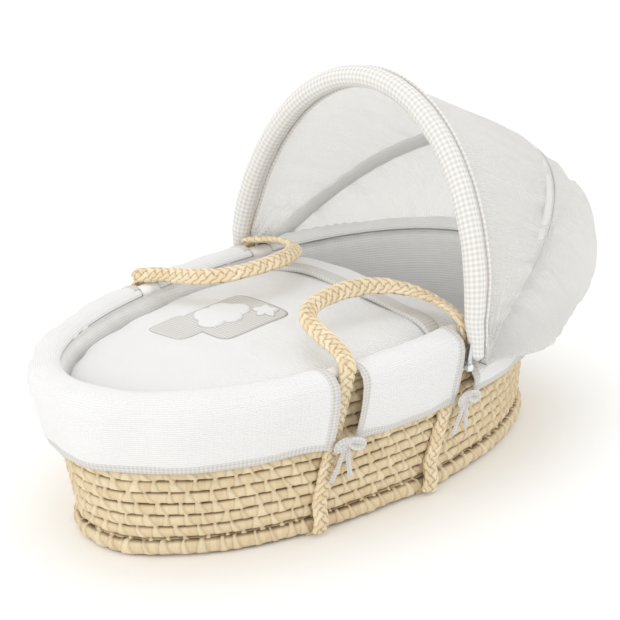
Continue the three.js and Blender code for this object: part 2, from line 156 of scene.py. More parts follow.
def laid_grid(name, across, along, place, size):
    """A grid primitive whose corners are laid out by place(u, v), with a UV map in metres."""
    bpy.ops.mesh.primitive_grid_add(x_subdivisions=across, y_subdivisions=along, size=2)
    piece = bpy.context.object
    piece.name = name
    mesh = piece.data
    mesh.name = name
    flat = np.empty(len(mesh.vertices) * 3)
    mesh.vertices.foreach_get("co", flat)
    flat = flat.reshape(-1, 3)
    u, v = (flat[:, 0] + 1) / 2, (flat[:, 1] + 1) / 2
    placed = place(u, v)
    extra = {}
    if isinstance(placed, tuple):
        placed, extra = placed
    mesh.vertices.foreach_set("co", np.asarray(placed, float).ravel())
    for key, values in extra.items():
        mesh.attributes.new(key, "FLOAT", "POINT").data.foreach_set("value", np.asarray(values, np.float32))
    corner = np.empty(len(mesh.loops), np.int32)
    mesh.loops.foreach_get("vertex_index", corner)
    uv = np.stack([u[corner] * size[0], v[corner] * size[1]], -1)
    mesh.uv_layers[0].data.foreach_set("uv", uv.ravel())
    mesh.update()
    return piece


def close_up(piece, fill=True):
    """Merges seams, closes open ends, and turns all faces outwards."""
    bpy.ops.object.select_all(action="DESELECT")
    bpy.context.view_layer.objects.active = piece
    piece.select_set(True)
    bpy.ops.object.mode_set(mode="EDIT")
    bpy.ops.mesh.select_all(action="SELECT")
    bpy.ops.mesh.remove_doubles(threshold=0.00002)
    if fill:
        bpy.ops.mesh.select_all(action="DESELECT")
        bpy.ops.mesh.select_non_manifold(extend=False)
        bpy.ops.mesh.fill_holes(sides=0)
    bpy.ops.mesh.select_all(action="SELECT")
    bpy.ops.mesh.normals_make_consistent(inside=False)
    bpy.ops.object.mode_set(mode="OBJECT")
    bpy.ops.object.shade_smooth()
    piece.select_set(False)
    return piece


def fit(piece, material, slot, body, *stands_for):
    """Gives a piece its material, the body it rides on, and the CAD nodes it stands for. Its slot is not used."""
    piece.data.materials.append(material)
    if body:
        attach(piece, body)
    if stands_for:
        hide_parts(*stands_for)
    return piece


def woven(stitch, course, seed, courses, stitches):
    """Relief (0 in a slot to 1 on a crest), leaf tone and the painted shade in the slots of coiled, stitched leaf.
    """
    dice = np.random.default_rng(seed)
    start = np.cumsum(dice.uniform(0.33, 0.6, courses + 1))
    jitter = dice.normal(0, 0.09, (courses + 1, stitches))
    spread = dice.uniform(0.7, 1.4, (courses + 1, stitches))
    lean = dice.normal(0.16, 0.16, (courses + 1, stitches))
    wrap_tone = dice.uniform(0, 1, (courses + 1, stitches))
    band_tone = dice.uniform(0, 1, (courses + 1, stitches * 4))
    row = np.clip(np.floor(course).astype(int), 0, courses - 1)
    v = np.clip(course - row, 0, 1)

    def wrap_at(row, v):
        along = stitch + start[row]
        near = np.round(along).astype(int)
        which = near % stitches
        off = along - near - jitter[row, which] - lean[row, which] * (0.75 - v)
        half = (0.30 - 0.175 * v ** 0.8) * spread[row, which]
        return np.clip((half - np.abs(off)) / 0.045, 0, 1), wrap_tone[row, which], (half - np.abs(off))

    near_stitch = np.round(stitch + start[row]).astype(int) % stitches
    fat = 2.2 + 1.5 * wrap_tone[row, near_stitch]
    body = (1 - np.abs(2 * v - 1) ** fat) ** 0.66
    wrap, tone_wrap, edge = wrap_at(row, v)
    neck_below, _, _ = wrap_at(np.maximum(row - 1, 0), np.ones_like(v))
    bridge = 0.66 * wrap * (v > 0.5) + 0.66 * neck_below * (v < 0.16) * (row > 0)
    relief = np.maximum(body * (0.84 + 0.2 * wrap + 0.05 * wrap_tone[row, near_stitch]), bridge)
    along = (stitch + start[row]) * 4
    tone = band_tone[row, np.floor(along).astype(int) % (stitches * 4)] * 0.55 + 0.2
    tone = tone * (1 - wrap) + (0.5 + 0.5 * tone_wrap) * wrap
    # Painted shade: dark in the low slots between courses, and a thin dark crease along each stitch's edge.
    crease = np.exp(-((edge / 0.05) ** 2)) * (body > 0.3) * 0.22
    dark = np.clip((0.60 - relief) / 0.34, 0, 1) + crease
    return relief, tone, np.clip(dark, 0, 1)


def weave_ring(name, rows, span, part, stitches, depth, detail, seed):
    """A closed ring of woven courses. depth is the offset of the slots, the crests and the back."""
    low, high = part
    fine_up = detail[1] * (high - low)
    total = fine_up + 3

    def place(u, v):
        step = np.round(v * total)
        course = low + np.clip(step, 0, fine_up) / fine_up * (high - low)
        relief, tone, dark = woven(u * stitches, np.minimum(course, high - 1e-6), seed, rows, stitches)
        out = depth[0] + (depth[1] - depth[0]) * relief
        out = np.where((step > fine_up) & (step < total), depth[2], out)
        course = np.where(step == fine_up + 2, low, course)
        points = wall_oval(even_round(u), out, span[0] + (span[1] - span[0]) * course / rows)
        points += 0.0008 * ripple(points, 5)[:, None] * [1, 1, 0.6]
        # Painted shade in the slots, on the woven face only and none on the wall's back.
        dark = np.where(step > fine_up, 0.0, dark)
        first, last = step == 0, step == total
        points[last], tone[last], dark[last] = points[first], tone[first], dark[first]
        return points, {"tone": tone, "slot": dark}

    return close_up(laid_grid(name, stitches * detail[0], total, place, (1.86, 0.0175 * (high - low))), fill=False)


def node(tree, kind, **sockets):
    made = tree.nodes.new(kind)
    for key, value in sockets.items():
        setattr(made, key, value)
    return made


def link(tree, source, target):
    tree.links.new(source, target)


def math_node(tree, operation, first, second=None):
    made = node(tree, "ShaderNodeMath", operation=operation)
    for socket, value in zip(made.inputs, (first, second)):
        if value is None:
            continue
        if isinstance(value, (int, float)):
            socket.default_value = value
        else:
            tree.links.new(value, socket)
    return made.outputs[0]


def new_group(name, inputs, outputs):
    group = bpy.data.node_groups.new(name, "ShaderNodeTree")
    for label, kind, value in inputs:
        socket = group.interface.new_socket(label, in_out="INPUT", socket_type=kind)
        if value is not None:
            socket.default_value = value
    for label, kind in outputs:
        group.interface.new_socket(label, in_out="OUTPUT", socket_type=kind)
    return group, group.nodes.new("NodeGroupInput"), group.nodes.new("NodeGroupOutput")


def stretched_noise(tree, vector, scale, detail=3.0):
    """Noise drawn out by a scale for each direction."""
    mapping = node(tree, "ShaderNodeMapping")
    mapping.inputs["Scale"].default_value = scale
    link(tree, vector, mapping.inputs["Vector"])
    noise = node(tree, "ShaderNodeTexNoise")
    noise.inputs["Scale"].default_value = 1.0
    noise.inputs["Detail"].default_value = detail
    link(tree, mapping.outputs[0], noise.inputs["Vector"])
    return noise.outputs["Fac"]


# Fine leaf fibres: streaks across each bundle, in the surface's own UV map.
fibres, fibres_in, fibres_out = new_group(
    "leaf_fibres", [("UV", "NodeSocketVector", None)], [("Streak", "NodeSocketFloat"), ("Patch", "NodeSocketFloat")]
)
link(fibres, stretched_noise(fibres, fibres_in.outputs[0], (900, 55, 1)), fibres_out.inputs["Streak"])
link(fibres, stretched_noise(fibres, fibres_in.outputs[0], (9, 16, 1)), fibres_out.inputs["Patch"])


def mix_colour(tree, factor, first, second):
    mix = node(tree, "ShaderNodeMix", data_type="RGBA")
    mix.inputs[0].default_value = 0.5
    if isinstance(factor, (int, float)):
        mix.inputs[0].default_value = factor
    else:
        link(tree, factor, mix.inputs[0])
    for socket, value in ((mix.inputs[6], first), (mix.inputs[7], second)):
        if isinstance(value, tuple):
            socket.default_value = (*value, 1)
        else:
            link(tree, value, socket)
    return mix.outputs[2]


def leaf_material(name, pale, tan, dark, streak=0.5):
    """Dried leaf: tone by strand, fibre streaks, pale weathered patches and painted shade, a dark brown, in the
    slots.
    """
    material = bpy.data.materials.new(name)
    material.use_nodes = True
    tree = material.node_tree
    shader = tree.nodes["Principled BSDF"]
    uv = node(tree, "ShaderNodeUVMap").outputs[0]
    group = node(tree, "ShaderNodeGroup", node_tree=fibres)
    link(tree, uv, group.inputs[0])
    tone = node(tree, "ShaderNodeAttribute", attribute_name="tone").outputs["Fac"]
    slot = node(tree, "ShaderNodeAttribute", attribute_name="slot").outputs["Fac"]
    mixed = math_node(tree, "MULTIPLY", tone, 0.6)
    mixed = math_node(tree, "ADD", mixed, math_node(tree, "MULTIPLY", group.outputs["Streak"], streak))
    mixed = math_node(tree, "ADD", mixed, math_node(tree, "MULTIPLY", group.outputs["Patch"], 0.5))
    mixed = math_node(tree, "SUBTRACT", mixed, 0.35)
    mixed = math_node(tree, "MINIMUM", math_node(tree, "MAXIMUM", mixed, 0.0), 1.0)
    colour = mix_colour(tree, mixed, tan, pale)
    # The slot attribute mixes in the dark colour as painted shade.
    colour = mix_colour(tree, slot, colour, dark)
    link(tree, colour, shader.inputs["Base Color"])
    shader.inputs["Roughness"].default_value = 0.62
    shader.inputs["Specular IOR Level"].default_value = 0.35
    bump = node(tree, "ShaderNodeBump")
    bump.inputs["Strength"].default_value = 0.5
    bump.inputs["Distance"].default_value = 0.0006
    link(tree, group.outputs["Streak"], bump.inputs["Height"])
    link(tree, bump.outputs[0], shader.inputs["Normal"])
    return material


# The third colour is the painted shade in the slots between courses.
woven_leaf = leaf_material("woven_leaf", (0.84, 0.73, 0.52), (0.62, 0.47, 0.27), (0.10, 0.05, 0.016))

COURSES = 12
STITCHES = 74
WEAVE_FOOT = 0.0073
WALL_DEPTH = (-0.0080, 0.0012, -0.0158)
# The courses under the skirt are hidden, so they are coarser.
for label, part, detail in (("low", (0, 4), (16, 15)), ("middle", (4, 8), (16, 15)), ("high", (8, 12), (8, 8))):
    span = (WEAVE_FOOT, WALL_HEIGHT)
    ring = weave_ring(f"woven_wall_{label}", COURSES, span, part, STITCHES, WALL_DEPTH, detail, 11)
    fit(ring, woven_leaf, "straw", "basket", *(["basket_wall"] if label == "low" else []))


# ---- foot coil, base and rim coil ----
# A thicker coil bound to the wall's first course stands the basket off the ground. The base is the same
# coiled leaf, sewn in rings, with the straps in grooves across it. The rim coil is under the lining.
foot_coil = weave_ring("foot_coil_leaf", 1, (0.0004, 0.0226), (0, 1), 78, (-0.0030, 0.0088, -0.0045), (15, 16), 4)
fit(foot_coil, woven_leaf, "straw", "basket", "foot_coil")

STRAP_FEET = (-0.153, 0.028)
BASE_ROWS = 9
BASE_TOP = 0.0068


def base_disc(u, v):
    """The underside from the middle out, then the flat top back to the middle."""
    under = v <= 0.8
    reach = np.where(under, v / 0.8, (1 - v) / 0.2)
    relief, tone, dark = woven(u * 60, np.minimum(reach * BASE_ROWS, BASE_ROWS - 1e-6), 8, BASE_ROWS, 60)
    edge = wall_oval(even_round(u), 0.0, np.zeros_like(u))
    spine = np.stack([np.clip(edge[:, 0], -0.19, 0.19), 0 * u, 0 * u], -1)
    points = spine + (edge - spine) * reach[:, None]
    over_strap = np.min([np.abs(points[:, 0] - x) for x in STRAP_FEET], axis=0) < 0.0125
    bottom = 0.0004 + 0.0022 * (1 - relief)
    bottom = np.where(over_strap, np.maximum(bottom, 0.0044), bottom)
    points[:, 2] = np.where(under, bottom, BASE_TOP)
    points[:, 2] = np.where(reach < 0.01, np.where(under, 0.004, BASE_TOP), points[:, 2])
    # Painted shade in the underside's slots only, none on the flat top.
    return points, {"tone": tone, "slot": dark * under}


base = close_up(laid_grid("woven_base", 420, 90, base_disc, (1.86, 0.2)))
fit(base, woven_leaf, "straw", "basket", "basket_floor")
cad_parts["rim_coil"].material_slots[0].material = woven_leaf


# ---- carrying straps and handles ----
# Three-strand plaits of twisted leaf: one long plait a side runs up the wall through the slits, over the
# rim, and round as the handle. Flat plaits join the pairs of straps under the base.
def smooth_path(points, normals, step, window):
    """Even points along a line through the given ones, rounded at its corners, with unit normals."""
    points, normals = np.asarray(points, float), np.asarray(normals, float)
    run = np.concatenate([[0], np.cumsum(np.linalg.norm(np.diff(points, axis=0), axis=1))])
    at = np.linspace(0, run[-1], max(8, int(run[-1] / step)))
    both = np.stack([np.interp(at, run, col) for col in np.concatenate([points, normals], 1).T], -1)
    wide = max(1, int(window / step / 2))
    kernel = np.hanning(2 * wide + 3)[1:-1]
    kernel /= kernel.sum()
    pad = [2 * both[0] - both[1 : wide + 1][::-1], both, 2 * both[-1] - both[-wide - 1 : -1][::-1]]
    both = np.stack([np.convolve(col, kernel, "valid") for col in np.concatenate(pad).T], -1)
    line, face = both[:, :3], both[:, 3:]
    ahead = np.gradient(line, axis=0)
    ahead /= np.linalg.norm(ahead, axis=1)[:, None]
    face -= ahead * (face * ahead).sum(1)[:, None]
    face /= np.linalg.norm(face, axis=1)[:, None]
    run = np.concatenate([[0], np.cumsum(np.linalg.norm(np.diff(line, axis=0), axis=1))])
    return line, ahead, face, run


def plait(name, points, normals, width, thick, pitch, seed):
    """A flat three-strand plait along a path: two rows of slanting lobes that interlock along the middle."""
    line, ahead, face, run = smooth_path(points, normals, 0.0011, 0.03)
    side = np.cross(ahead, face)
    count = len(run)
    dice = np.random.default_rng(seed)
    lobe_tone = dice.uniform(0, 1, (2, 400))
    lobe_fat = dice.uniform(0.86, 1.1, (2, 400))
    wave = 1 + 0.05 * np.sin(run * 47 + dice.uniform(0, 6)) + 0.03 * np.sin(run * 151 + dice.uniform(0, 6))

    def place(u, v):
        at = np.round(v * (count - 1)).astype(int)
        turn = 2 * math.pi * u
        c, t = np.cos(turn), np.sin(turn)
        over = np.where(t >= 0, 1.0, -1.0)
        middle = 0.16 * np.sin(2 * math.pi * run[at] / pitch)
        right = (c - middle * over > 0).astype(int)
        lobe = run[at] / pitch + np.abs(c - middle * over) * width * 0.42 / pitch * over + 0.5 * right
        which = np.floor(lobe).astype(int) % 400
        pillow = np.abs(np.sin(math.pi * lobe)) ** 0.5
        seam = np.clip(np.abs(c - middle * over) / 0.16, 0, 1) ** 0.6
        relief = pillow * seam * lobe_fat[right, which]
        end = np.clip(np.minimum(at, count - 1 - at) / 3.0, 0.05, 1.0) ** 0.5
        wide = width / 2 * np.sign(c) * np.abs(c) ** 0.75 * wave[at] * (0.86 + 0.14 * pillow)
        deep = thick / 2 * np.sign(t) * np.abs(t) ** 0.62 * (0.62 + 0.42 * relief)
        points = line[at] + side[at] * (wide * end)[:, None] + face[at] * (deep * end)[:, None]
        # Painted shade in the dips between the lobes and along the middle.
        dark = np.clip(0.60 - relief, 0, 1) * 1.7
        return points, {"tone": lobe_tone[right, which], "slot": np.clip(dark, 0, 0.9), "fibre": lobe * pitch}

    piece = close_up(laid_grid(name, 36, count - 1, place, (2.2 * width, run[-1])))
    mesh = piece.data
    corner = np.empty(len(mesh.loops), np.int32)
    mesh.loops.foreach_get("vertex_index", corner)
    fibre = np.empty(len(mesh.vertices), np.float32)
    mesh.attributes["fibre"].data.foreach_get("value", fibre)
    uv = np.empty(len(mesh.loops) * 2)
    mesh.uv_layers[0].data.foreach_get("uv", uv)
    uv = uv.reshape(-1, 2)
    mesh.uv_layers[0].data.foreach_set("uv", np.stack([fibre[corner], uv[:, 0]], -1).ravel())
    return piece


def half_width(x, out, height):
    """The oval's half width at a length position."""
    length, width, shift = oval_size(out, height)
    q = np.clip((x - shift) / length, -1, 1)
    return width * (1 - np.abs(q) ** OVAL_POWER) ** (1 / OVAL_POWER) * (1 + HEAD_SWELL * q)


def strap_line(foot, top):
    """Points and outward normals up the wall on the near side, as if it were at y > 0."""
    points, normals = [], []
    for height in (0.0045, 0.012, 0.022, 0.030, 0.040, 0.060, 0.090, 0.130, 0.170, 0.205, 0.226):
        inner = max(0.0004, min(0.0096, 0.0096 - (height - 0.026) * 0.8))
        x = foot + (top - foot) * height / WALL_HEIGHT
        points.append((x, half_width(x, inner + 0.0039, height) + (0.0015 if height < 0.04 else 0), height))
        normals.append((0, 1, 0.1 if height < 0.2 else 0.5))
    return points, normals


# A handle's line from the foot strap to the head strap: length position, and reach from its hinge line.
HANDLE_RUN = (
    (-0.132, 0.000), (-0.126, 0.012), (-0.117, 0.026), (-0.111, 0.052), (-0.106, 0.088), (-0.094, 0.118),
    (-0.070, 0.136), (-0.038, 0.143), (0.000, 0.144), (0.031, 0.137), (0.057, 0.121), (0.075, 0.098),
    (0.085, 0.068), (0.086, 0.038), (0.080, 0.014), (0.075, 0.000),
)  # fmt: skip
HANDLE_TILT = math.radians(10)
STRAP_TOPS = (-0.132, 0.075)
PLAIT_WIDTH = 0.0238
PLAIT_THICK = 0.0098
PLAIT_PITCH = 0.0122
# The third colour is the painted shade between the plait's lobes.
plaited_leaf = leaf_material("plaited_leaf", (0.90, 0.79, 0.59), (0.74, 0.59, 0.37), (0.27, 0.15, 0.055), 0.5)
for label, side in (("near", -1), ("far", 1)):
    foot_points, foot_normals = strap_line(STRAP_FEET[0], STRAP_TOPS[0])
    head_points, head_normals = strap_line(STRAP_FEET[1], STRAP_TOPS[1])
    loop = [(x, 0.211 - r * math.cos(HANDLE_TILT), 0.240 + r * math.sin(HANDLE_TILT)) for x, r in HANDLE_RUN]
    # The near plait's flat lies outwards and the far one's inwards, and both turn on edge at the corners.
    face_y = 0.85 if side < 0 else -0.45
    loop_normals = []
    for x, _ in HANDLE_RUN:
        corner_turn = -0.5 * math.exp(-(((x + 0.11) / 0.03) ** 2)) + 0.3 * math.exp(-(((x - 0.085) / 0.02) ** 2))
        loop_normals.append((corner_turn, face_y, 0.8))
    mirror = np.array([1, side, 1])
    points = np.array(foot_points + loop + head_points[::-1]) * mirror
    normals = np.array(foot_normals + loop_normals + head_normals[::-1]) * mirror
    rope = plait(f"handle_plait_{label}", points, normals, PLAIT_WIDTH, PLAIT_THICK, PLAIT_PITCH, 3)
    fit(rope, plaited_leaf, "rope", None, f"strap_{label}_foot", f"strap_{label}_head", f"handle_{label}")
    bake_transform(rope)
for label, x in (("foot", STRAP_FEET[0]), ("head", STRAP_FEET[1])):
    reach = half_width(x, 0.008, 0.0)
    line = [(x, y, 0.0022) for y in (-reach, 0, reach)]
    under = plait(f"under_plait_{label}", line, [(0, 0, -1)] * 3, 0.0225, 0.0038, PLAIT_PITCH, 6)
    fit(under, plaited_leaf, "rope", "basket", f"strap_under_{label}")


# ---- padded lining ----
# A quilted white cotton lining on the inside of the wall, stuffed into a fat roll over the rim, with a
# puckered seam under the roll. It is laced through the wall, and has a thin pad over the base.
def section_table(section, count=400, soften=9):
    """A closed outline as evenly spaced points, softened at its corners."""
    points = np.array(list(section) + [section[0]], float)
    run = np.concatenate([[0], np.cumsum(np.linalg.norm(np.diff(points, axis=0), axis=1))])
    at = np.linspace(0, run[-1], count, endpoint=False)
    table = np.stack([np.interp(at, run, col) for col in points.T], -1)
    kernel = np.hanning(2 * soften + 3)[1:-1]
    kernel /= kernel.sum()
    rounds = [np.concatenate([c[-soften:], c, c[:soften]]) for c in table.T]
    return np.stack([np.convolve(c, kernel, "valid") for c in rounds], -1), run[-1]


def look_up(table, share):
    """Points at a share of the way round a closed outline."""
    at = (share % 1.0) * len(table)
    low = np.floor(at).astype(int) % len(table)
    part = (at - np.floor(at))[:, None]
    return table[low] * (1 - part) + table[(low + 1) % len(table)] * part


ribs, ribs_in, ribs_out = new_group(
    "cloth_ribs",
    [("UV", "NodeSocketVector", None), ("Pitch", "NodeSocketFloat", 0.003)],
    [("Height", "NodeSocketFloat"), ("Weave", "NodeSocketFloat")],
)
split = node(ribs, "ShaderNodeSeparateXYZ")
link(ribs, ribs_in.outputs["UV"], split.inputs[0])
waves = []
for axis, ratio in ((1, 1.0), (0, 1.5)):
    turns = math_node(ribs, "DIVIDE", split.outputs[axis], ribs_in.outputs["Pitch"])
    waves.append(math_node(ribs, "SINE", math_node(ribs, "MULTIPLY", turns, 2 * math.pi / ratio)))
link(ribs, math_node(ribs, "ADD", waves[0], math_node(ribs, "MULTIPLY", waves[1], 0.18)), ribs_out.inputs["Height"])
link(ribs, stretched_noise(ribs, ribs_in.outputs["UV"], (700, 1400, 1), 1.0), ribs_out.inputs["Weave"])

creases, creases_in, creases_out = new_group(
    "cloth_creases", [("Position", "NodeSocketVector", None)], [("Height", "NodeSocketFloat")]
)
link(creases, stretched_noise(creases, creases_in.outputs[0], (16, 16, 22), 4.0), creases_out.inputs[0])


def cotton_material(name, colour, trough, rib=0.0005, pitch=0.003, crease=0.004):
    """White cotton with a fine rib, painted shade in the rib troughs, and soft creases."""
    material = bpy.data.materials.new(name)
    material.use_nodes = True
    tree = material.node_tree
    shader = tree.nodes["Principled BSDF"]
    group = node(tree, "ShaderNodeGroup", node_tree=ribs)
    group.inputs["Pitch"].default_value = pitch
    link(tree, node(tree, "ShaderNodeUVMap").outputs[0], group.inputs["UV"])
    crumple = node(tree, "ShaderNodeGroup", node_tree=creases)
    link(tree, node(tree, "ShaderNodeTexCoord").outputs["Object"], crumple.inputs[0])
    # Painted shade: the colour turns towards trough in the dips of the rib.
    deep = math_node(tree, "MULTIPLY", math_node(tree, "SUBTRACT", 0.6, group.outputs["Height"]), 0.5)
    deep = math_node(tree, "MINIMUM", math_node(tree, "MAXIMUM", deep, 0.0), 1.0)
    link(tree, mix_colour(tree, deep, colour, trough), shader.inputs["Base Color"])
    shader.inputs["Roughness"].default_value = 0.85
    shader.inputs["Specular IOR Level"].default_value = 0.2
    shader.inputs["Sheen Weight"].default_value = 0.15
    fine = node(tree, "ShaderNodeBump")
    fine.inputs["Strength"].default_value = 0.6
    fine.inputs["Distance"].default_value = rib
    threads = math_node(tree, "MULTIPLY", group.outputs["Weave"], 0.8)
    link(tree, math_node(tree, "ADD", group.outputs["Height"], threads), fine.inputs["Height"])
    soft = node(tree, "ShaderNodeBump")
    soft.inputs["Strength"].default_value = 0.5
    soft.inputs["Distance"].default_value = crease
    link(tree, crumple.outputs[0], soft.inputs["Height"])
    link(tree, fine.outputs[0], soft.inputs["Normal"])
    link(tree, soft.outputs[0], shader.inputs["Normal"])
    return material


ribbed_cotton = cotton_material("ribbed_cotton", (0.82, 0.818, 0.815), (0.745, 0.743, 0.74), 0.0004)
# The lining's white is its own, but it is painted paler than the skirt's cotton as painted light, so the shaded
# inside of the basket looks lit.
lining_cotton_painted_light = cotton_material("lining_cotton_painted_light", (0.88, 0.875, 0.865), (0.84, 0.833, 0.822), 0.0002, 0.0036)

# The lining's cross-section: offset from the wall's outside, and height. Up its face, over the roll, and back.
LINING = (
    (-0.0243, 0.0075), (-0.0246, 0.100), (-0.0243, 0.2165), (-0.0262, 0.2215), (-0.0266, 0.2262),
    (-0.0225, 0.2300), (-0.0135, 0.2312), (-0.0045, 0.2296), (-0.0010, 0.2255), (-0.0016, 0.2222),
    (-0.0160, 0.2212), (-0.0163, 0.0075),
)  # fmt: skip
lining_table, lining_length = section_table(LINING, 600, 5)
ROLL_SEAM = 0.2185


def lining(u, v):
    """The lining's face, with its roll and the puckered seam below it."""
    flat = look_up(lining_table, v)
    angle = even_round(u)
    inside = np.clip((-0.0205 - flat[:, 0]) / 0.003, 0, 1)
    pull = np.exp(-(((flat[:, 1] - ROLL_SEAM) / 0.006) ** 2)) * inside
    pucker = np.sin(2 * math.pi * 62 * u + 1.3 * np.sin(2 * math.pi * 7 * u))
    pucker *= np.exp(-(((flat[:, 1] - ROLL_SEAM) / 0.016) ** 2))
    out = flat[:, 0] + inside * (0.0022 * pull + 0.0008 * pucker - 0.0004)
    points = wall_oval(angle, out, flat[:, 1])
    quilting = ripple(points, 21, 8, 30, 90) * 0.0009 * inside
    return points + points * [1, 1, 0] / 0.3 * quilting[:, None]


liner = close_up(laid_grid("padded_lining", 560, 190, lining, (1.9, lining_length)), fill=False)
fit(liner, lining_cotton_painted_light, "cotton", "basket", "liner_pad", "rim_roll")


def floor_pad(u, v):
    """The pad on the base: underside out to the edge, and the top back to the middle."""
    under = v < 0.5
    reach = np.where(under, v * 2, (1 - v) * 2)
    edge = wall_oval(even_round(u), -0.0247, np.full_like(u, 0.0075))
    points = edge * [1, 1, 0] * reach[:, None]
    points[:, 2] = 0.0075 + np.where(under, 0.0, 0.0017 * (1 - reach**8))
    return points


pad = close_up(laid_grid("base_pad", 120, 24, floor_pad, (1.8, 0.4)))
fit(pad, lining_cotton_painted_light, "cotton", "basket", "liner_floor")


# ---- mattress ----
# A firm oval foam mattress in a fitted white cotton cover. It lies loose on the base pad, and the lining
# keeps it from sliding.
def mattress_shape(u, v):
    """A flat-topped oval with rounded edges."""
    turn, rise = 2 * math.pi * u, (v - 0.5) * math.pi
    low_c = np.abs(np.cos(rise)) ** 0.22
    high_s = np.sign(np.sin(rise)) * np.abs(np.sin(rise)) ** 0.5
    c, s = np.cos(turn), np.sin(turn)
    x = 0.3355 * np.sign(c) * np.abs(c) ** 0.9 * low_c
    y = 0.1535 * np.sign(s) * np.abs(s) ** 0.9 * low_c
    points = np.stack([x, y, 0.0298 + 0.0203 * high_s], -1)
    points[:, 2] += 0.0007 * ripple(points * [1, 1, 0], 31, 8, 20, 60) * (rise > 0)
    return points


mattress = close_up(laid_grid("mattress_cover", 200, 80, mattress_shape, (1.6, 0.3)))
fit(mattress, lining_cotton_painted_light, "cotton", "basket", "mattress")


# ---- skirt ----
# White ribbed cotton turned out over the rim and hanging a third of the way down the wall, in four
# panels parted where the straps pass. Every panel's hem and sides are bound with small gingham.
SLITS = (-0.132, 0.077)
HALF_SLIT = 0.017
# The skirt's cross-section from its hem up over the roll: offset from the wall's outside, and height.
SKIRT = np.array([
    (0.0128, 0.1305), (0.0162, 0.1480), (0.0178, 0.1700), (0.0192, 0.1950), (0.0188, 0.2120), (0.0150, 0.2230),
    (0.0075, 0.2300), (-0.0020, 0.2332), (-0.0115, 0.2342), (-0.0200, 0.2328), (-0.0258, 0.2285), (-0.0268, 0.2240),
])  # fmt: skip
skirt_run = np.concatenate([[0], np.cumsum(np.linalg.norm(np.diff(SKIRT, axis=0), axis=1))])
SKIRT_LENGTH = float(skirt_run[-1])
round_angles = np.linspace(-2 * math.pi, 4 * math.pi, 6001)
round_points = wall_oval(round_angles, 0.01, np.full_like(round_angles, 0.18))
round_run = np.concatenate([[0], np.cumsum(np.linalg.norm(np.diff(round_points, axis=0), axis=1))])
WHOLE_ROUND = float(np.interp(2 * math.pi, round_angles, round_run) - np.interp(0, round_angles, round_run))


def skirt_surface(run, down, out):
    """Points on the hanging skirt: run is the distance round the basket, down goes from the hem to the roll."""
    at = np.clip(down, 0, 1) * SKIRT_LENGTH
    offset = np.interp(at, skirt_run, SKIRT[:, 0])
    height = np.interp(at, skirt_run, SKIRT[:, 1])
    ahead_d = np.interp(at + 0.004, skirt_run, SKIRT[:, 0]) - np.interp(at - 0.004, skirt_run, SKIRT[:, 0])
    ahead_z = np.interp(at + 0.004, skirt_run, SKIRT[:, 1]) - np.interp(at - 0.004, skirt_run, SKIRT[:, 1])
    size = np.hypot(ahead_d, ahead_z) + 1e-9
    normal_d, normal_z = ahead_z / size, -ahead_d / size
    angle = np.interp(run, round_run, round_angles)
    rough = wall_oval(angle, offset, height)
    hang = np.clip(1 - down / 0.75, 0, 1)
    folds = ripple(rough * [1, 1, 0.28], 44, 9, 20, 85)
    puff = 0.0019 * folds * (0.35 + 0.9 * hang) * np.clip((height - 0.118) / 0.02, 0, 1)
    puff += 0.0011 * ripple(rough, 45, 9, 60, 170) * np.clip((0.95 - down) / 0.2, 0, 1)
    apart = np.min([np.abs(np.abs(rough[:, 0] - x) - HALF_SLIT) for x in SLITS], axis=0)
    puff += 0.0026 * np.exp(-((apart / 0.012) ** 2)) * hang * np.clip(1.4 - down * 1.4, 0, 1)
    slack = np.clip((rough[:, 0] + 0.168 - (height - 0.205) * 0.95) / 0.040, 0, 1)
    slack *= np.clip((-0.146 - rough[:, 0]) / 0.03, 0, 1)
    puff -= 0.0030 * slack * np.clip((0.212 - height) / 0.03, 0, 1)
    line = 0.160 + (rough[:, 0] - 0.097) * 0.434
    flat = np.clip((height - line + 0.006) / 0.022, 0, 1) * (rough[:, 0] > 0.08) * (rough[:, 0] < 0.29)
    flat *= np.clip((0.0045 + offset) / 0.006, 0, 1)
    offset = offset * (1 - flat) + np.minimum(offset, 0.0042) * flat
    puff = puff * (1 - 0.75 * flat) + 0.0016 * flat * np.sin(run * 320 + 3 * np.sin(run * 40))
    lay = np.maximum(out + puff, -0.004)
    return wall_oval(angle, offset + normal_d * lay, height + normal_z * lay)


def cloth(name, across, along, surface, thick, size):
    """A closed thin sheet, laid out by surface(u, v, out), with its two skins joined all round."""

    def place(u, v):
        there = v <= 0.5
        w = np.where(there, v * 2, (1 - v) * 2)
        edge = (u < 1e-6) | (u > 1 - 1e-6) | (w < 1e-6) | (w > 1 - 1e-6)
        out = np.where(edge, 0.0, np.where(there, thick / 2, -thick / 2))
        return surface(u, w, out)

    return close_up(laid_grid(name, across, along * 2, place, (size[0], size[1] * 2)), fill=False)


def run_at(x, side, down):
    """Distance round to where the skirt passes a length position, on the near or far side."""
    at = down * SKIRT_LENGTH
    angle = angle_at(x, np.interp(at, skirt_run, SKIRT[:, 0]), np.interp(at, skirt_run, SKIRT[:, 1]))
    return np.interp(angle if side > 0 else 2 * math.pi - angle, round_angles, round_run)


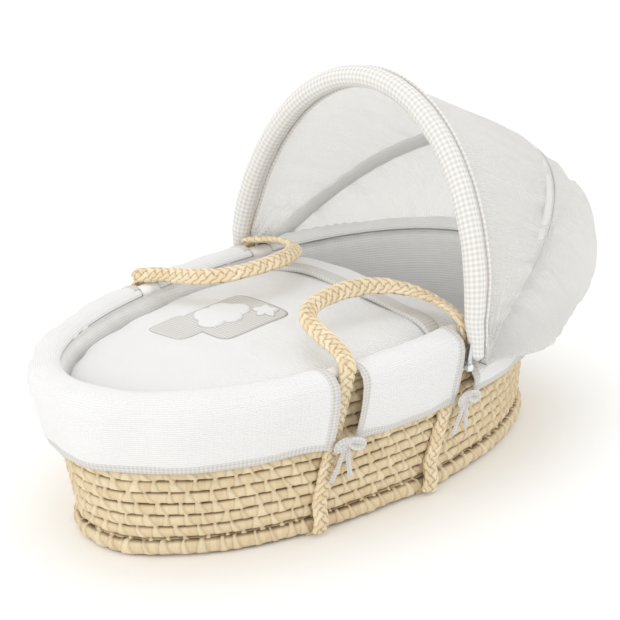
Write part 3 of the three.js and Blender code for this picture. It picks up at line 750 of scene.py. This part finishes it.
def gingham_material(name, pale, dark, check=0.004, rib=0.0003):
    """Small woven checks, in the surface's own UV map."""
    material = bpy.data.materials.new(name)
    material.use_nodes = True
    tree = material.node_tree
    shader = tree.nodes["Principled BSDF"]
    parts = node(tree, "ShaderNodeSeparateXYZ")
    link(tree, node(tree, "ShaderNodeUVMap").outputs[0], parts.inputs[0])
    stripes = []
    for axis in (0, 1):
        turns = math_node(tree, "FRACT", math_node(tree, "DIVIDE", parts.outputs[axis], check * 2))
        stripes.append(math_node(tree, "GREATER_THAN", turns, 0.5))
    both = math_node(tree, "MULTIPLY", math_node(tree, "ADD", stripes[0], stripes[1]), 0.5)
    link(tree, mix_colour(tree, both, pale, dark), shader.inputs["Base Color"])
    shader.inputs["Roughness"].default_value = 0.85
    shader.inputs["Specular IOR Level"].default_value = 0.2
    crumple = node(tree, "ShaderNodeGroup", node_tree=creases)
    link(tree, node(tree, "ShaderNodeTexCoord").outputs["Object"], crumple.inputs[0])
    soft = node(tree, "ShaderNodeBump")
    soft.inputs["Strength"].default_value = 0.6
    soft.inputs["Distance"].default_value = rib * 12
    link(tree, crumple.outputs[0], soft.inputs["Height"])
    link(tree, soft.outputs[0], shader.inputs["Normal"])
    return material


gingham = gingham_material("gingham", (0.69, 0.68, 0.662), (0.545, 0.527, 0.495), 0.0024)

# Each panel's start and stop are a length position and a side, in the order round the basket.
PANELS = (
    ("skirt_foot", (SLITS[0] - HALF_SLIT, 1), (SLITS[0] - HALF_SLIT, -1), 0.63),
    ("skirt_middle_near", (SLITS[0] + HALF_SLIT, -1), (SLITS[1] - HALF_SLIT, -1), 0.178),
    ("skirt_middle_far", (SLITS[1] - HALF_SLIT, 1), (SLITS[0] + HALF_SLIT, 1), 0.178),
    ("skirt_head", (SLITS[1] + HALF_SLIT, -1), (SLITS[1] + HALF_SLIT, 1), 0.84),
)
for name, start, stop, length in PANELS:
    past = WHOLE_ROUND if name == "skirt_head" else 0.0

    def panel_run(u, down, start=start, stop=stop, past=past):
        first = run_at(start[0], start[1], down)
        last = run_at(stop[0], stop[1], down) + past
        return first + (last - first) * u

    fine = max(60, int(length / 0.0035))
    panel = cloth(
        f"{name}_cloth", fine, 60,
        lambda u, v, out: skirt_surface(panel_run(u, v), v, out), 0.0016, (length, SKIRT_LENGTH),
    )  # fmt: skip
    hem = cloth(
        f"{name}_hem", fine, 8,
        lambda u, v, out: skirt_surface(panel_run(u, v * 0.085), v * 0.085, out * (1 - 0.35 * v) + 0.0003),
        0.0036, (length, 0.013),
    )  # fmt: skip
    trims = [hem]
    for end in (0, 1):
        width = 0.012 / length
        trims.append(cloth(
            f"{name}_edge_{end}", 8, 60,
            lambda u, v, out, end=end, width=width: skirt_surface(
                panel_run(end + (1 - 2 * end) * u * width, v * 0.93), v * 0.93, out + 0.0003),
            0.0036, (0.012, SKIRT_LENGTH),
        ))  # fmt: skip
    for trim in trims:
        fit(trim, gingham, "gingham", "basket")
    fit(panel, ribbed_cotton, "cotton", "basket", name)


# ---- ties ----
# Narrow gingham tape sewn to the foot of each slit and tied across the strap in a small bow, so that the
# skirt stays down. The two ends of each tape hang free.
def ribbon(name, points, normals, width, thick, window=0.012):
    """A flat tape along a path, closed at its ends."""
    line, ahead, face, run = smooth_path(points, normals, 0.0012, window)
    side = np.cross(ahead, face)
    count = len(run)

    def place(u, v):
        at = np.round(v * (count - 1)).astype(int)
        turn = 2 * math.pi * u
        end = np.where((at == 0) | (at == count - 1), 0.02, 1.0)
        c, s = np.cos(turn), np.sin(turn)
        a = (np.sign(c) * np.abs(c) ** 0.5 * width / 2)[:, None]
        b = (np.sign(s) * np.abs(s) ** 0.5 * thick / 2 * end)[:, None]
        return line[at] + side[at] * a + face[at] * b

    return close_up(laid_grid(name, 16, count - 1, place, (width * 2.2, run[-1]))), run[-1], line


def tie_point(x, side, out, height):
    """A point at an offset from the wall's outside."""
    return np.array([x, side * half_width(x, out, height), height])


def tail_line(slit, side, turn):
    """A tail's line from the knot to its free end, spreading as it falls in towards the wall."""
    line = []
    for t in np.linspace(0, 1, 8):
        aside = 0.001 + 0.004 * t + (0.013 if turn > 0 else 0.006) * t**1.5
        line.append(tie_point(slit + turn * aside, side, 0.0215 - 0.0075 * t, 0.139 - 0.061 * t))
    return line


TAPE_WIDTH = 0.0085
KNOT_OUT = 0.0225
KNOT_HEIGHT = 0.141
for label, side in (("near", -1), ("far", 1)):
    for end, slit in (("foot", SLITS[0]), ("head", SLITS[1])):
        face = (0, side, 0.1)
        knot_at = tie_point(slit, side, KNOT_OUT, KNOT_HEIGHT)
        parts = []
        for turn in (-1, 1):
            loop = [knot_at]
            for share in np.linspace(0, 1, 9):
                swing = math.pi * (2 * share - 1) * 0.93
                reach = 0.0115 + 0.0105 * math.cos(swing)
                drop = 0.0058 * math.sin(swing) + 0.009 * (1 if turn > 0 else 0.4) * math.cos(swing / 2)
                out = KNOT_OUT + 0.0045 * math.cos(swing / 2)
                loop.append(tie_point(slit + turn * reach, side, out, KNOT_HEIGHT - drop))
            loop.append(knot_at)
            bow, _, _ = ribbon(f"tie_loop_{label}_{end}_{turn + 1}", loop, [face] * len(loop), TAPE_WIDTH, 0.0014)
            parts.append(bow)
        bpy.ops.mesh.primitive_uv_sphere_add(segments=24, ring_count=16, radius=1)
        knot = bpy.context.object
        bpy.ops.object.mode_set(mode="EDIT")
        bpy.ops.mesh.select_all(action="SELECT")
        bpy.ops.transform.resize(value=(0.0062, 0.0044, 0.0055), center_override=(0, 0, 0))
        bpy.ops.transform.translate(value=tuple(knot_at))
        bpy.ops.object.mode_set(mode="OBJECT")
        bpy.ops.object.shade_smooth()
        knot.name = f"tie_knot_{label}_{end}"
        parts.append(knot)
        bpy.ops.object.select_all(action="DESELECT")
        for part in parts:
            part.select_set(True)
        bpy.context.view_layer.objects.active = parts[0]
        bpy.ops.object.join()
        bow = parts[0]
        bow.name = bow.data.name = f"tie_bow_{label}_{end}"
        bow.select_set(False)
        bow.data.materials.clear()
        fit(bow, gingham, "gingham", "basket", f"tie_{label}_{end}")
        for turn in (-1, 1):
            drop = tail_line(slit, side, turn)
            tail, length, line = ribbon(
                f"tie_tail_{label}_{end}_{turn + 1}", drop, [face] * len(drop), TAPE_WIDTH, 0.0012
            )
            fit(tail, gingham, "gingham", "basket")


# ---- quilt ----
# A padded ribbed white quilt laid over the mattress and tucked down beside it, its head end folded back
# on itself with a gingham border. Gingham, cloud and star patches are sewn on near the foot.
QUILT_LOW = 0.0506
QUILT_HIGH = 0.171
QUILT_END = 0.124
QUILT_MIDDLE = -0.060  # from here to the foot its ends follow the lining
LINED = -0.0263  # the lining's face, from the wall's outside


def quilt_foot(height):
    """The quilt's foot end, against the lining at a height."""
    length, _, shift = oval_size(LINED, height)
    return shift - length


bulge_angles = np.linspace(0, math.pi / 2, 1200) ** 2 / (math.pi / 2)
bulge_across = np.sin(bulge_angles) ** 0.30
bulge_up = np.cos(bulge_angles) ** 0.24
bulge_run = np.concatenate([[0], np.cumsum(np.hypot(np.diff(bulge_across), np.diff(bulge_up) * 0.9))])


def quilt_shape(x, across):
    """Points on the quilt's puffed top, from side to side (across is -1 to 1)."""
    low_reach = QUILT_MIDDLE - quilt_foot(QUILT_LOW)
    q = np.clip((QUILT_MIDDLE - x) / low_reach, 0, 0.9995)
    high = QUILT_HIGH * (1 - q**9) ** (1 / 9)
    at = np.clip(np.abs(across), 0, 1) * bulge_run[-1]
    height = QUILT_LOW + high * np.interp(at, bulge_run, bulge_up)
    stretched = QUILT_MIDDLE + (x - QUILT_MIDDLE) * (QUILT_MIDDLE - quilt_foot(height)) / low_reach
    along = np.where(x < QUILT_MIDDLE, stretched, x)
    y = half_width(along, LINED, height) * np.interp(at, bulge_run, bulge_across) * np.sign(across)
    return np.stack([along, y, height], -1)


def quilt_surface(x, across, out):
    """Points on the quilt: across is -1 to 1 by length over the cross-section, from side to side."""
    points = quilt_shape(x, across)
    step = 0.004
    by_x = quilt_shape(x + step, across) - quilt_shape(x - step, across)
    by_y = quilt_shape(x, np.clip(across + 0.02, -1, 1)) - quilt_shape(x, np.clip(across - 0.02, -1, 1))
    normal = np.cross(by_x, by_y)
    normal /= np.linalg.norm(normal, axis=1)[:, None] + 1e-12
    soft = 0.0022 * ripple(points * [1, 1, 0.6], 71, 9, 14, 40) + 0.0010 * ripple(points, 72, 9, 45, 100)
    edge = np.clip((np.abs(across) - 0.42) / 0.2, 0, 1) + np.clip((-0.24 - x) / 0.05, 0, 1)
    soft += 0.0012 * edge * ripple(points, 73, 9, 70, 160)
    return points + normal * (out + soft - 0.0012)[:, None]


def quilt_x(t, across):
    """Length position from the foot's 0 to the fold's 1, closer together at the foot."""
    foot = quilt_foot(QUILT_LOW) + 0.0006
    return foot + (QUILT_END - foot) * (0.35 * t + 0.65 * t**1.8) - 0.026 * np.abs(across) ** 2.5 * t**3


QUILT_LONG, QUILT_WIDE = 0.56, 0.57
quilt = cloth(
    "quilt_cover", 150, 170,
    lambda u, v, out: quilt_surface(quilt_x(u, 2 * v - 1), 2 * v - 1, out - 0.0055), 0.011, (QUILT_LONG, QUILT_WIDE),
)  # fmt: skip
fit(quilt, ribbed_cotton, "cotton", "basket", "quilt")


def turnback_surface(u, v, out):
    """The folded-back end: u from its free border to the fold at the quilt's head end."""
    across = (2 * v - 1) * 0.66
    back = 0.046 + 0.040 * np.abs(across) ** 1.5
    x = QUILT_END - 0.026 * np.abs(across) ** 2.5 - 0.0005 - back * (1 - u)
    over = np.clip((u - 0.86) / 0.14, 0, 1)
    lift = 0.0046 * (1 - over**2.5) + 0.0018 * np.sin(2 * math.pi * (v * 3.2)) * (1 - u)
    points = quilt_surface(x + 0.0035 * over, across, out + lift)
    points[:, 0] += 0.0030 * ripple(points * [0, 1, 0], 75, 6, 14, 40) * (1 - u)
    return points


turnback = cloth("quilt_turned_end", 40, 150, turnback_surface, 0.0060, (0.06, 0.48))
fit(turnback, ribbed_cotton, "cotton", "basket", "quilt_turnback")
border = cloth(
    "quilt_border", 16, 150, lambda u, v, out: turnback_surface(u * 0.42 - 0.02, v, out), 0.0078, (0.028, 0.40)
)
fit(border, gingham, "gingham", "basket")


def on_quilt(x, y, out):
    """The quilt's flat top above a point on the plan."""
    top = 0.218
    ratio = np.clip(np.abs(y) / half_width(x, LINED, np.full_like(x, top)), 0, 0.9)
    at = np.interp(ratio, bulge_across, bulge_run) / bulge_run[-1]
    stretch = (QUILT_MIDDLE - quilt_foot(top)) / (QUILT_MIDDLE - quilt_foot(QUILT_LOW))
    back = np.where(x < QUILT_MIDDLE, QUILT_MIDDLE + (x - QUILT_MIDDLE) / stretch, x)
    return quilt_surface(back, np.where(y < 0, -at, at), out)


def patch(name, outline, centre, turn, thick, size, material, slot):
    """A patch sewn flat on the quilt. outline(angle) gives its edge's distance from the middle."""
    cos_t, sin_t = math.cos(turn), math.sin(turn)

    def place(u, v):
        angle = 2 * math.pi * u
        top = v <= 0.5
        reach = np.where(top, v * 2, (1 - v) * 2)
        r = outline(angle) * reach * size
        px, py = r * np.cos(angle), r * np.sin(angle)
        x, y = centre[0] + px * cos_t - py * sin_t, centre[1] + px * sin_t + py * cos_t
        out = np.where(top, thick * (1 - np.clip((reach - 0.86) / 0.14, 0, 1) ** 2 * 0.75), -0.0015)
        return on_quilt(x, y, out)

    made = close_up(laid_grid(name, 120, 28, place, (1, 1)))
    flat = np.empty(len(made.data.vertices) * 3)
    made.data.vertices.foreach_get("co", flat)
    flat = flat.reshape(-1, 3)
    corner = np.empty(len(made.data.loops), np.int32)
    made.data.loops.foreach_get("vertex_index", corner)
    x, y = flat[corner][:, 0], flat[corner][:, 1]
    on_cloth = np.stack([x * cos_t + y * sin_t, -x * sin_t + y * cos_t], -1)
    made.data.uv_layers[0].data.foreach_set("uv", on_cloth.ravel())
    return fit(made, material, slot, "basket")


def rounded_square(angle, side=0.8):
    """An oblong with round corners, side wide for its length of 1."""
    c, s = np.abs(np.cos(angle)), np.abs(np.sin(angle) / side)
    return 1 / (c**7 + s**7) ** (1 / 7)


def cloud(angle):
    """A low cloud of five lobes."""
    return 0.80 + 0.20 * np.abs(np.cos(2.5 * angle + 0.6)) ** 0.8 - 0.30 * np.abs(np.sin(angle)) ** 1.4


def star(angle):
    """A blunt star of five points."""
    return 0.62 + 0.38 * (1 - np.abs(((angle * 5 / (2 * math.pi)) % 1) * 2 - 1)) ** 0.8 - 0.19


stitch_thread = cotton_material("stitched_thread", (0.55, 0.545, 0.53), (0.40, 0.395, 0.38), 0.0003, 0.0016)
first_patch = patch("patch_large", rounded_square, (-0.100, 0.040), 0.05, 0.0016, 0.062, gingham, "gingham")
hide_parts("quilt_patch")
patch("patch_small", lambda a: rounded_square(a, 1.0), (-0.176, 0.062), 0.12, 0.0015, 0.031, gingham, "gingham")
patch("cloud_edge", cloud, (-0.112, 0.052), 0.05, 0.0026, 0.0485, stitch_thread, "cotton")
patch("cloud", cloud, (-0.112, 0.052), 0.05, 0.0046, 0.0465, ribbed_cotton, "cotton")
patch("star_edge", star, (-0.062, 0.020), 0.2, 0.0026, 0.0255, stitch_thread, "cotton")
patch("star", star, (-0.062, 0.020), 0.2, 0.0044, 0.0235, ribbed_cotton, "cotton")


# ---- hood pivots and hoops ----
# Two hoops of spring wire turn on the pins of two moulded plastic brackets, which are screwed to the wall
# under the skirt. Friction washers hold the hoops where they are left.
moulded_plastic = bpy.data.materials.new("moulded_plastic")
moulded_plastic.use_nodes = True
shader = moulded_plastic.node_tree.nodes["Principled BSDF"]
shader.inputs["Base Color"].default_value = (0.82, 0.81, 0.79, 1)
shader.inputs["Roughness"].default_value = 0.42
spring_wire = bpy.data.materials.new("spring_wire")
spring_wire.use_nodes = True
shader = spring_wire.node_tree.nodes["Principled BSDF"]
shader.inputs["Base Color"].default_value = (0.62, 0.63, 0.65, 1)
shader.inputs["Metallic"].default_value = 1.0
shader.inputs["Roughness"].default_value = 0.32
for name in ("hood_bracket_near", "hood_bracket_far"):
    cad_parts[name].material_slots[0].material = moulded_plastic
for name in ("hood_front_hoop", "hood_rear_hoop"):
    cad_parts[name].material_slots[0].material = spring_wire

PIVOT = (0.066, 0.186)
# Each hoop: how far its corners start from the pivot, its height, half width, squareness and lean.
FRONT = (0.027, 0.305, 0.230, 2.0, math.radians(81.4))
REAR = (0.050, 0.323, 0.214, 2.1, math.radians(31.5))


def hoop_point(hoop, angle, out=0.0):
    """Points on a hoop, from the near pivot's 0 to the far pivot's pi."""
    foot, high, wide, power, lean = hoop
    c, s = np.cos(angle), np.clip(np.sin(angle), 0, 1)
    along = foot + (high + out) * s ** (2 / power)
    y = -(wide + out) * np.sign(c) * np.abs(c) ** (2 / power)
    return np.stack([PIVOT[0] + along * math.cos(lean), y, PIVOT[1] + along * math.sin(lean)], -1)


def hoop_leg(hoop, angle, out):
    """A hoop's line for the cloth, run on down its leg to the pivot below angle 0.12."""
    low = 0.12
    line = hoop_point(hoop, np.clip(angle, low, math.pi - low), out)
    left = np.clip(np.minimum(angle, math.pi - angle) / low, 0, 1)[:, None]
    aside = -np.sign(np.cos(angle)) * (0.2325 + out)
    pivot = np.stack([np.full_like(angle, PIVOT[0] + 0.014), aside, np.full_like(angle, PIVOT[1] + 0.004)], -1)
    return pivot * (1 - left) + line * left


def hoop_angles(hoop, start, share):
    """Hoop angles spaced evenly by length between start and its mirror."""
    fine = np.linspace(start, math.pi - start, 801)
    line = hoop_leg(hoop, fine, 0.0)
    run = np.concatenate([[0], np.cumsum(np.linalg.norm(np.diff(line, axis=0), axis=1))])
    return np.interp(share * run[-1], run, fine), float(run[-1])


# ---- front sleeve ----
# A tube of gingham padded with wadding and drawn over the front hoop. It is corded along its back edge,
# where the canopy is sewn in, and seamed on its inner side.
def hoop_tube(name, hoop, start, centre, radii, sides, steps, wrinkle, taper=0.62):
    """A closed soft tube along a hoop. centre and radii are (in the hoop's plane, across it)."""
    _, length = hoop_angles(hoop, start, 1.0)
    lean = hoop[4]
    across = np.array([math.sin(lean), 0, -math.cos(lean)])

    def place(u, v):
        angle, _ = hoop_angles(hoop, start, v)
        line = hoop_leg(hoop, angle, 0.0)
        outward = hoop_leg(hoop, angle, 0.001) - line
        outward /= np.linalg.norm(outward, axis=1)[:, None]
        turn = 2 * math.pi * u
        near_end = np.minimum(v, 1 - v) * length
        slim = taper + (1 - taper) * np.clip(near_end / 0.10, 0, 1) ** 0.8
        end = np.clip(near_end / 0.006, 0, 1) ** 0.5 * slim
        end = np.where((v < 1e-6) | (v > 1 - 1e-6), 0.25, end)
        rolls = np.sin(v * length * 150 + 3 * np.sin(v * 17) + 1.4 * np.cos(turn))
        dents = ripple(line + outward * np.cos(turn)[:, None] * 0.02, 81, 8, 40, 120)
        folds = 1 + wrinkle * (rolls * 0.6 + dents * 0.5)
        a = (centre[0] * slim + radii[0] * np.cos(turn) * end * folds)[:, None]
        b = (centre[1] * slim + radii[1] * np.sin(turn) * end * folds)[:, None]
        return line + outward * a + across * b

    around = math.pi * (radii[0] + radii[1])
    return close_up(laid_grid(name, sides, steps, place, (around, length)))


sleeve_gingham = gingham_material("sleeve_gingham", (0.82, 0.81, 0.785), (0.645, 0.625, 0.59), 0.0034)
sleeve = hoop_tube("front_sleeve", FRONT, 0.006, (0.0005, 0.0), (0.0148, 0.0150), 40, 420, 0.028)
fit(sleeve, sleeve_gingham, "gingham", "hood_front", "hood_sleeve")
cording = hoop_tube("sleeve_cording", FRONT, 0.02, (0.0125, 0.0145), (0.0024, 0.0024), 12, 420, 0.02)
fit(cording, sleeve_gingham, "gingham", "hood_front")
seam = hoop_tube("sleeve_seam", FRONT, 0.02, (-0.0115, 0.0145), (0.0030, 0.0024), 12, 420, 0.05)
fit(seam, sleeve_gingham, "gingham", "hood_front")


# ---- rear channel ----
# A flat cotton tape, folded round the rear hoop and sewn along the inside of the canopy, so that the hoop
# lifts the cloth.
tape_cotton = cotton_material("tape_cotton", (0.78, 0.77, 0.75), (0.70, 0.69, 0.665), 0.0003, 0.002)
channel = hoop_tube("rear_channel", REAR, 0.03, (-0.001, 0.0), (0.0052, 0.0118), 28, 380, 0.03)
fit(channel, tape_cotton, "cotton", "hood_rear", "hood_channel")


# ---- canopy ----
# Ribbed white cotton: a front panel from the sleeve to the rear hoop, and a fuller rear panel from there
# down to an elasticated hem round the head end, gathered into both seams.
def wander(share, count, seed):
    """An uneven row of gathers, about -1 to 1, along a seam."""
    dice = np.random.default_rng(seed)
    total = np.zeros_like(share)
    for weight, times in ((1.0, 1.0), (0.6, 1.61), (0.45, 0.53)):
        warp = 0.35 * np.sin(2 * math.pi * dice.uniform(1.5, 3.5) * share + dice.uniform(0, 6))
        total += weight * np.sin(2 * math.pi * (count * times * share + warp) + dice.uniform(0, 6))
    return total / 1.25


def canopy_front(u, v, out):
    """The front panel: from behind the sleeve back to the rear hoop, with soft folds between."""
    angle, _ = hoop_angles(FRONT, 0.0, v)
    high = np.clip(np.sin(angle), 0, 1)
    cover = 0.0062 * np.clip((u - 0.8) / 0.2, 0, 1) ** 1.5
    f, r = hoop_leg(FRONT, angle, out + 0.002), hoop_leg(REAR, angle, out + cover)
    span = np.linalg.norm(r - f, axis=1) + 1e-6
    t0 = np.minimum(0.0125 / span, 0.3)
    t = t0 + (1 - t0) * u
    points = f * (1 - t)[:, None] + r * t[:, None]
    swell = 0.012 * np.sin(math.pi * t) * high**0.5
    lean = FRONT[4] - math.radians(8)
    corner = np.exp(-((np.minimum(v, 1 - v) / 0.10) ** 2))
    folds = 0.0026 * wander(v, 22, 91) * (0.2 + 0.8 * u**1.5) * np.clip(np.sin(math.pi * u) * 3, 0, 1)
    rumple = ripple(points * [0.5, 1, 0.6], 92, 9, 18, 60) * np.clip(np.sin(math.pi * u) * 4, 0, 1)
    folds += (0.0058 + 0.0030 * corner) * rumple
    folds += 0.0036 * corner * wander(u, 7, 96)
    swell = swell + folds
    points[:, 0] += swell * math.cos(lean) * high
    points[:, 2] += swell * math.sin(lean) * high
    points[:, 1] *= 1 + 0.03 * np.sin(math.pi * t) * np.abs(np.cos(angle))
    points[:, 1] -= np.sign(np.cos(angle)) * folds * np.abs(np.cos(angle))
    return points


# Painted light: the canopy is painted paler than the skirt's ribbed cotton of the same cloth, so the shaded inside
# of the hood looks lit.
canopy_cotton_painted_light = cotton_material("canopy_cotton_painted_light", (0.92, 0.917, 0.91), (0.83, 0.828, 0.82), 0.0004, 0.0034, 0.009)
# The cloth is thin, so light passes through it.
tree = canopy_cotton_painted_light.node_tree
shader = tree.nodes["Principled BSDF"]
glow = node(tree, "ShaderNodeBsdfTranslucent")
glow.inputs["Color"].default_value = (0.985, 0.98, 0.97, 1)
see_through = node(tree, "ShaderNodeMixShader")
see_through.inputs[0].default_value = 0.70
link(tree, shader.outputs[0], see_through.inputs[1])
link(tree, glow.outputs[0], see_through.inputs[2])
link(tree, shader.inputs["Normal"].links[0].from_socket, glow.inputs["Normal"])
link(tree, see_through.outputs[0], tree.nodes["Material Output"].inputs["Surface"])
front_panel = cloth("canopy_front_panel", 90, 320, canopy_front, 0.0014, (0.24, 0.86))
fit(front_panel, canopy_cotton_painted_light, "cotton", None, "canopy_front")

HEM_TURN = 1.31
HEM_HEIGHT = 0.187
ELASTIC_HEIGHT = 0.1775


def hem_line(v, out, height=HEM_HEIGHT):
    """The rear panel's hem, round the head end."""
    return wall_oval((2 * v - 1) * HEM_TURN, 0.021 + out, height + 0 * v)


def canopy_rear(u, v, out):
    """The rear panel: out and down from the rear hoop, sagging below its hem before it turns in to it."""
    angle, _ = hoop_angles(REAR, 0.0, v)
    cover = 0.0062 * np.clip((0.12 - u) / 0.12, 0, 1)
    top, hem = hoop_leg(REAR, angle, out + cover), hem_line(v, out)
    round_off = np.clip(np.sin(angle), 0, 1)
    points = top * (1 - u)[:, None] + hem * u[:, None]
    side = np.clip(np.minimum(v, 1 - v) / 0.13, 0, 1)
    side = side * side * (3 - 2 * side)
    bulge = np.sin(math.pi * u**1.3) ** 0.8
    gathers = 0.0060 * wander(v, 30, 93) * np.exp(-(((1 - u) / 0.30) ** 2)) * np.clip((1.02 - u) / 0.04, 0.3, 1)
    gathers += 0.0042 * wander(v, 19, 94) * np.exp(-((u / 0.35) ** 2)) * np.clip(u / 0.10, 0, 1)
    gathers += 0.0078 * ripple(points * [1, 1, 0.45], 95, 9, 16, 60) * np.clip(u / 0.10, 0, 1)
    gathers -= 0.0022 * np.exp(-(((v - 0.5) * 0.8 / 0.006) ** 2))
    away = hem - hem * [0, 0, 1] - [0.05, 0, 0]
    away[:, 2] = 0
    away /= np.linalg.norm(away, axis=1)[:, None]
    push = (0.060 * round_off + 0.022 * side + 0.004) * bulge + gathers * (0.4 + 0.6 * side)
    points += away * push[:, None]
    points[:, 2] += 0.014 * round_off * np.sin(math.pi * u) + gathers * 0.4
    points[:, 2] -= 0.40 * u**3 * (1 - u) * (0.2 + 0.8 * side)
    return points


rear_panel = cloth("canopy_rear_panel", 90, 320, canopy_rear, 0.0014, (0.27, 0.86))
fit(rear_panel, canopy_cotton_painted_light, "cotton", None, "canopy_rear")


def elastic_place(u, v):
    """The hem's pleated casing, with the elastic in it."""
    centre = hem_line(v, 0.001, ELASTIC_HEIGHT)
    turn = 2 * math.pi * u
    pleat = 1 + 0.22 * np.sin(2 * math.pi * 96 * v + 2 * np.sin(2 * math.pi * 9 * v))
    end = np.where((v < 1e-6) | (v > 1 - 1e-6), 0.3, 1.0)
    outward = hem_line(v, 0.002, ELASTIC_HEIGHT) - centre
    outward /= np.linalg.norm(outward, axis=1)[:, None]
    points = centre + outward * (0.0036 * np.cos(turn) * pleat * end)[:, None]
    points[:, 2] += 0.0068 * np.sin(turn) * end
    return points


elastic = close_up(laid_grid("hood_hem_ruffle", 20, 520, elastic_place, (0.035, 0.8)))
fit(elastic, canopy_cotton_painted_light, "cotton", "basket", "hood_elastic")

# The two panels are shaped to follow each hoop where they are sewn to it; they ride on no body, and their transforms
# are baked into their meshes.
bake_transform(front_panel)
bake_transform(rear_panel)
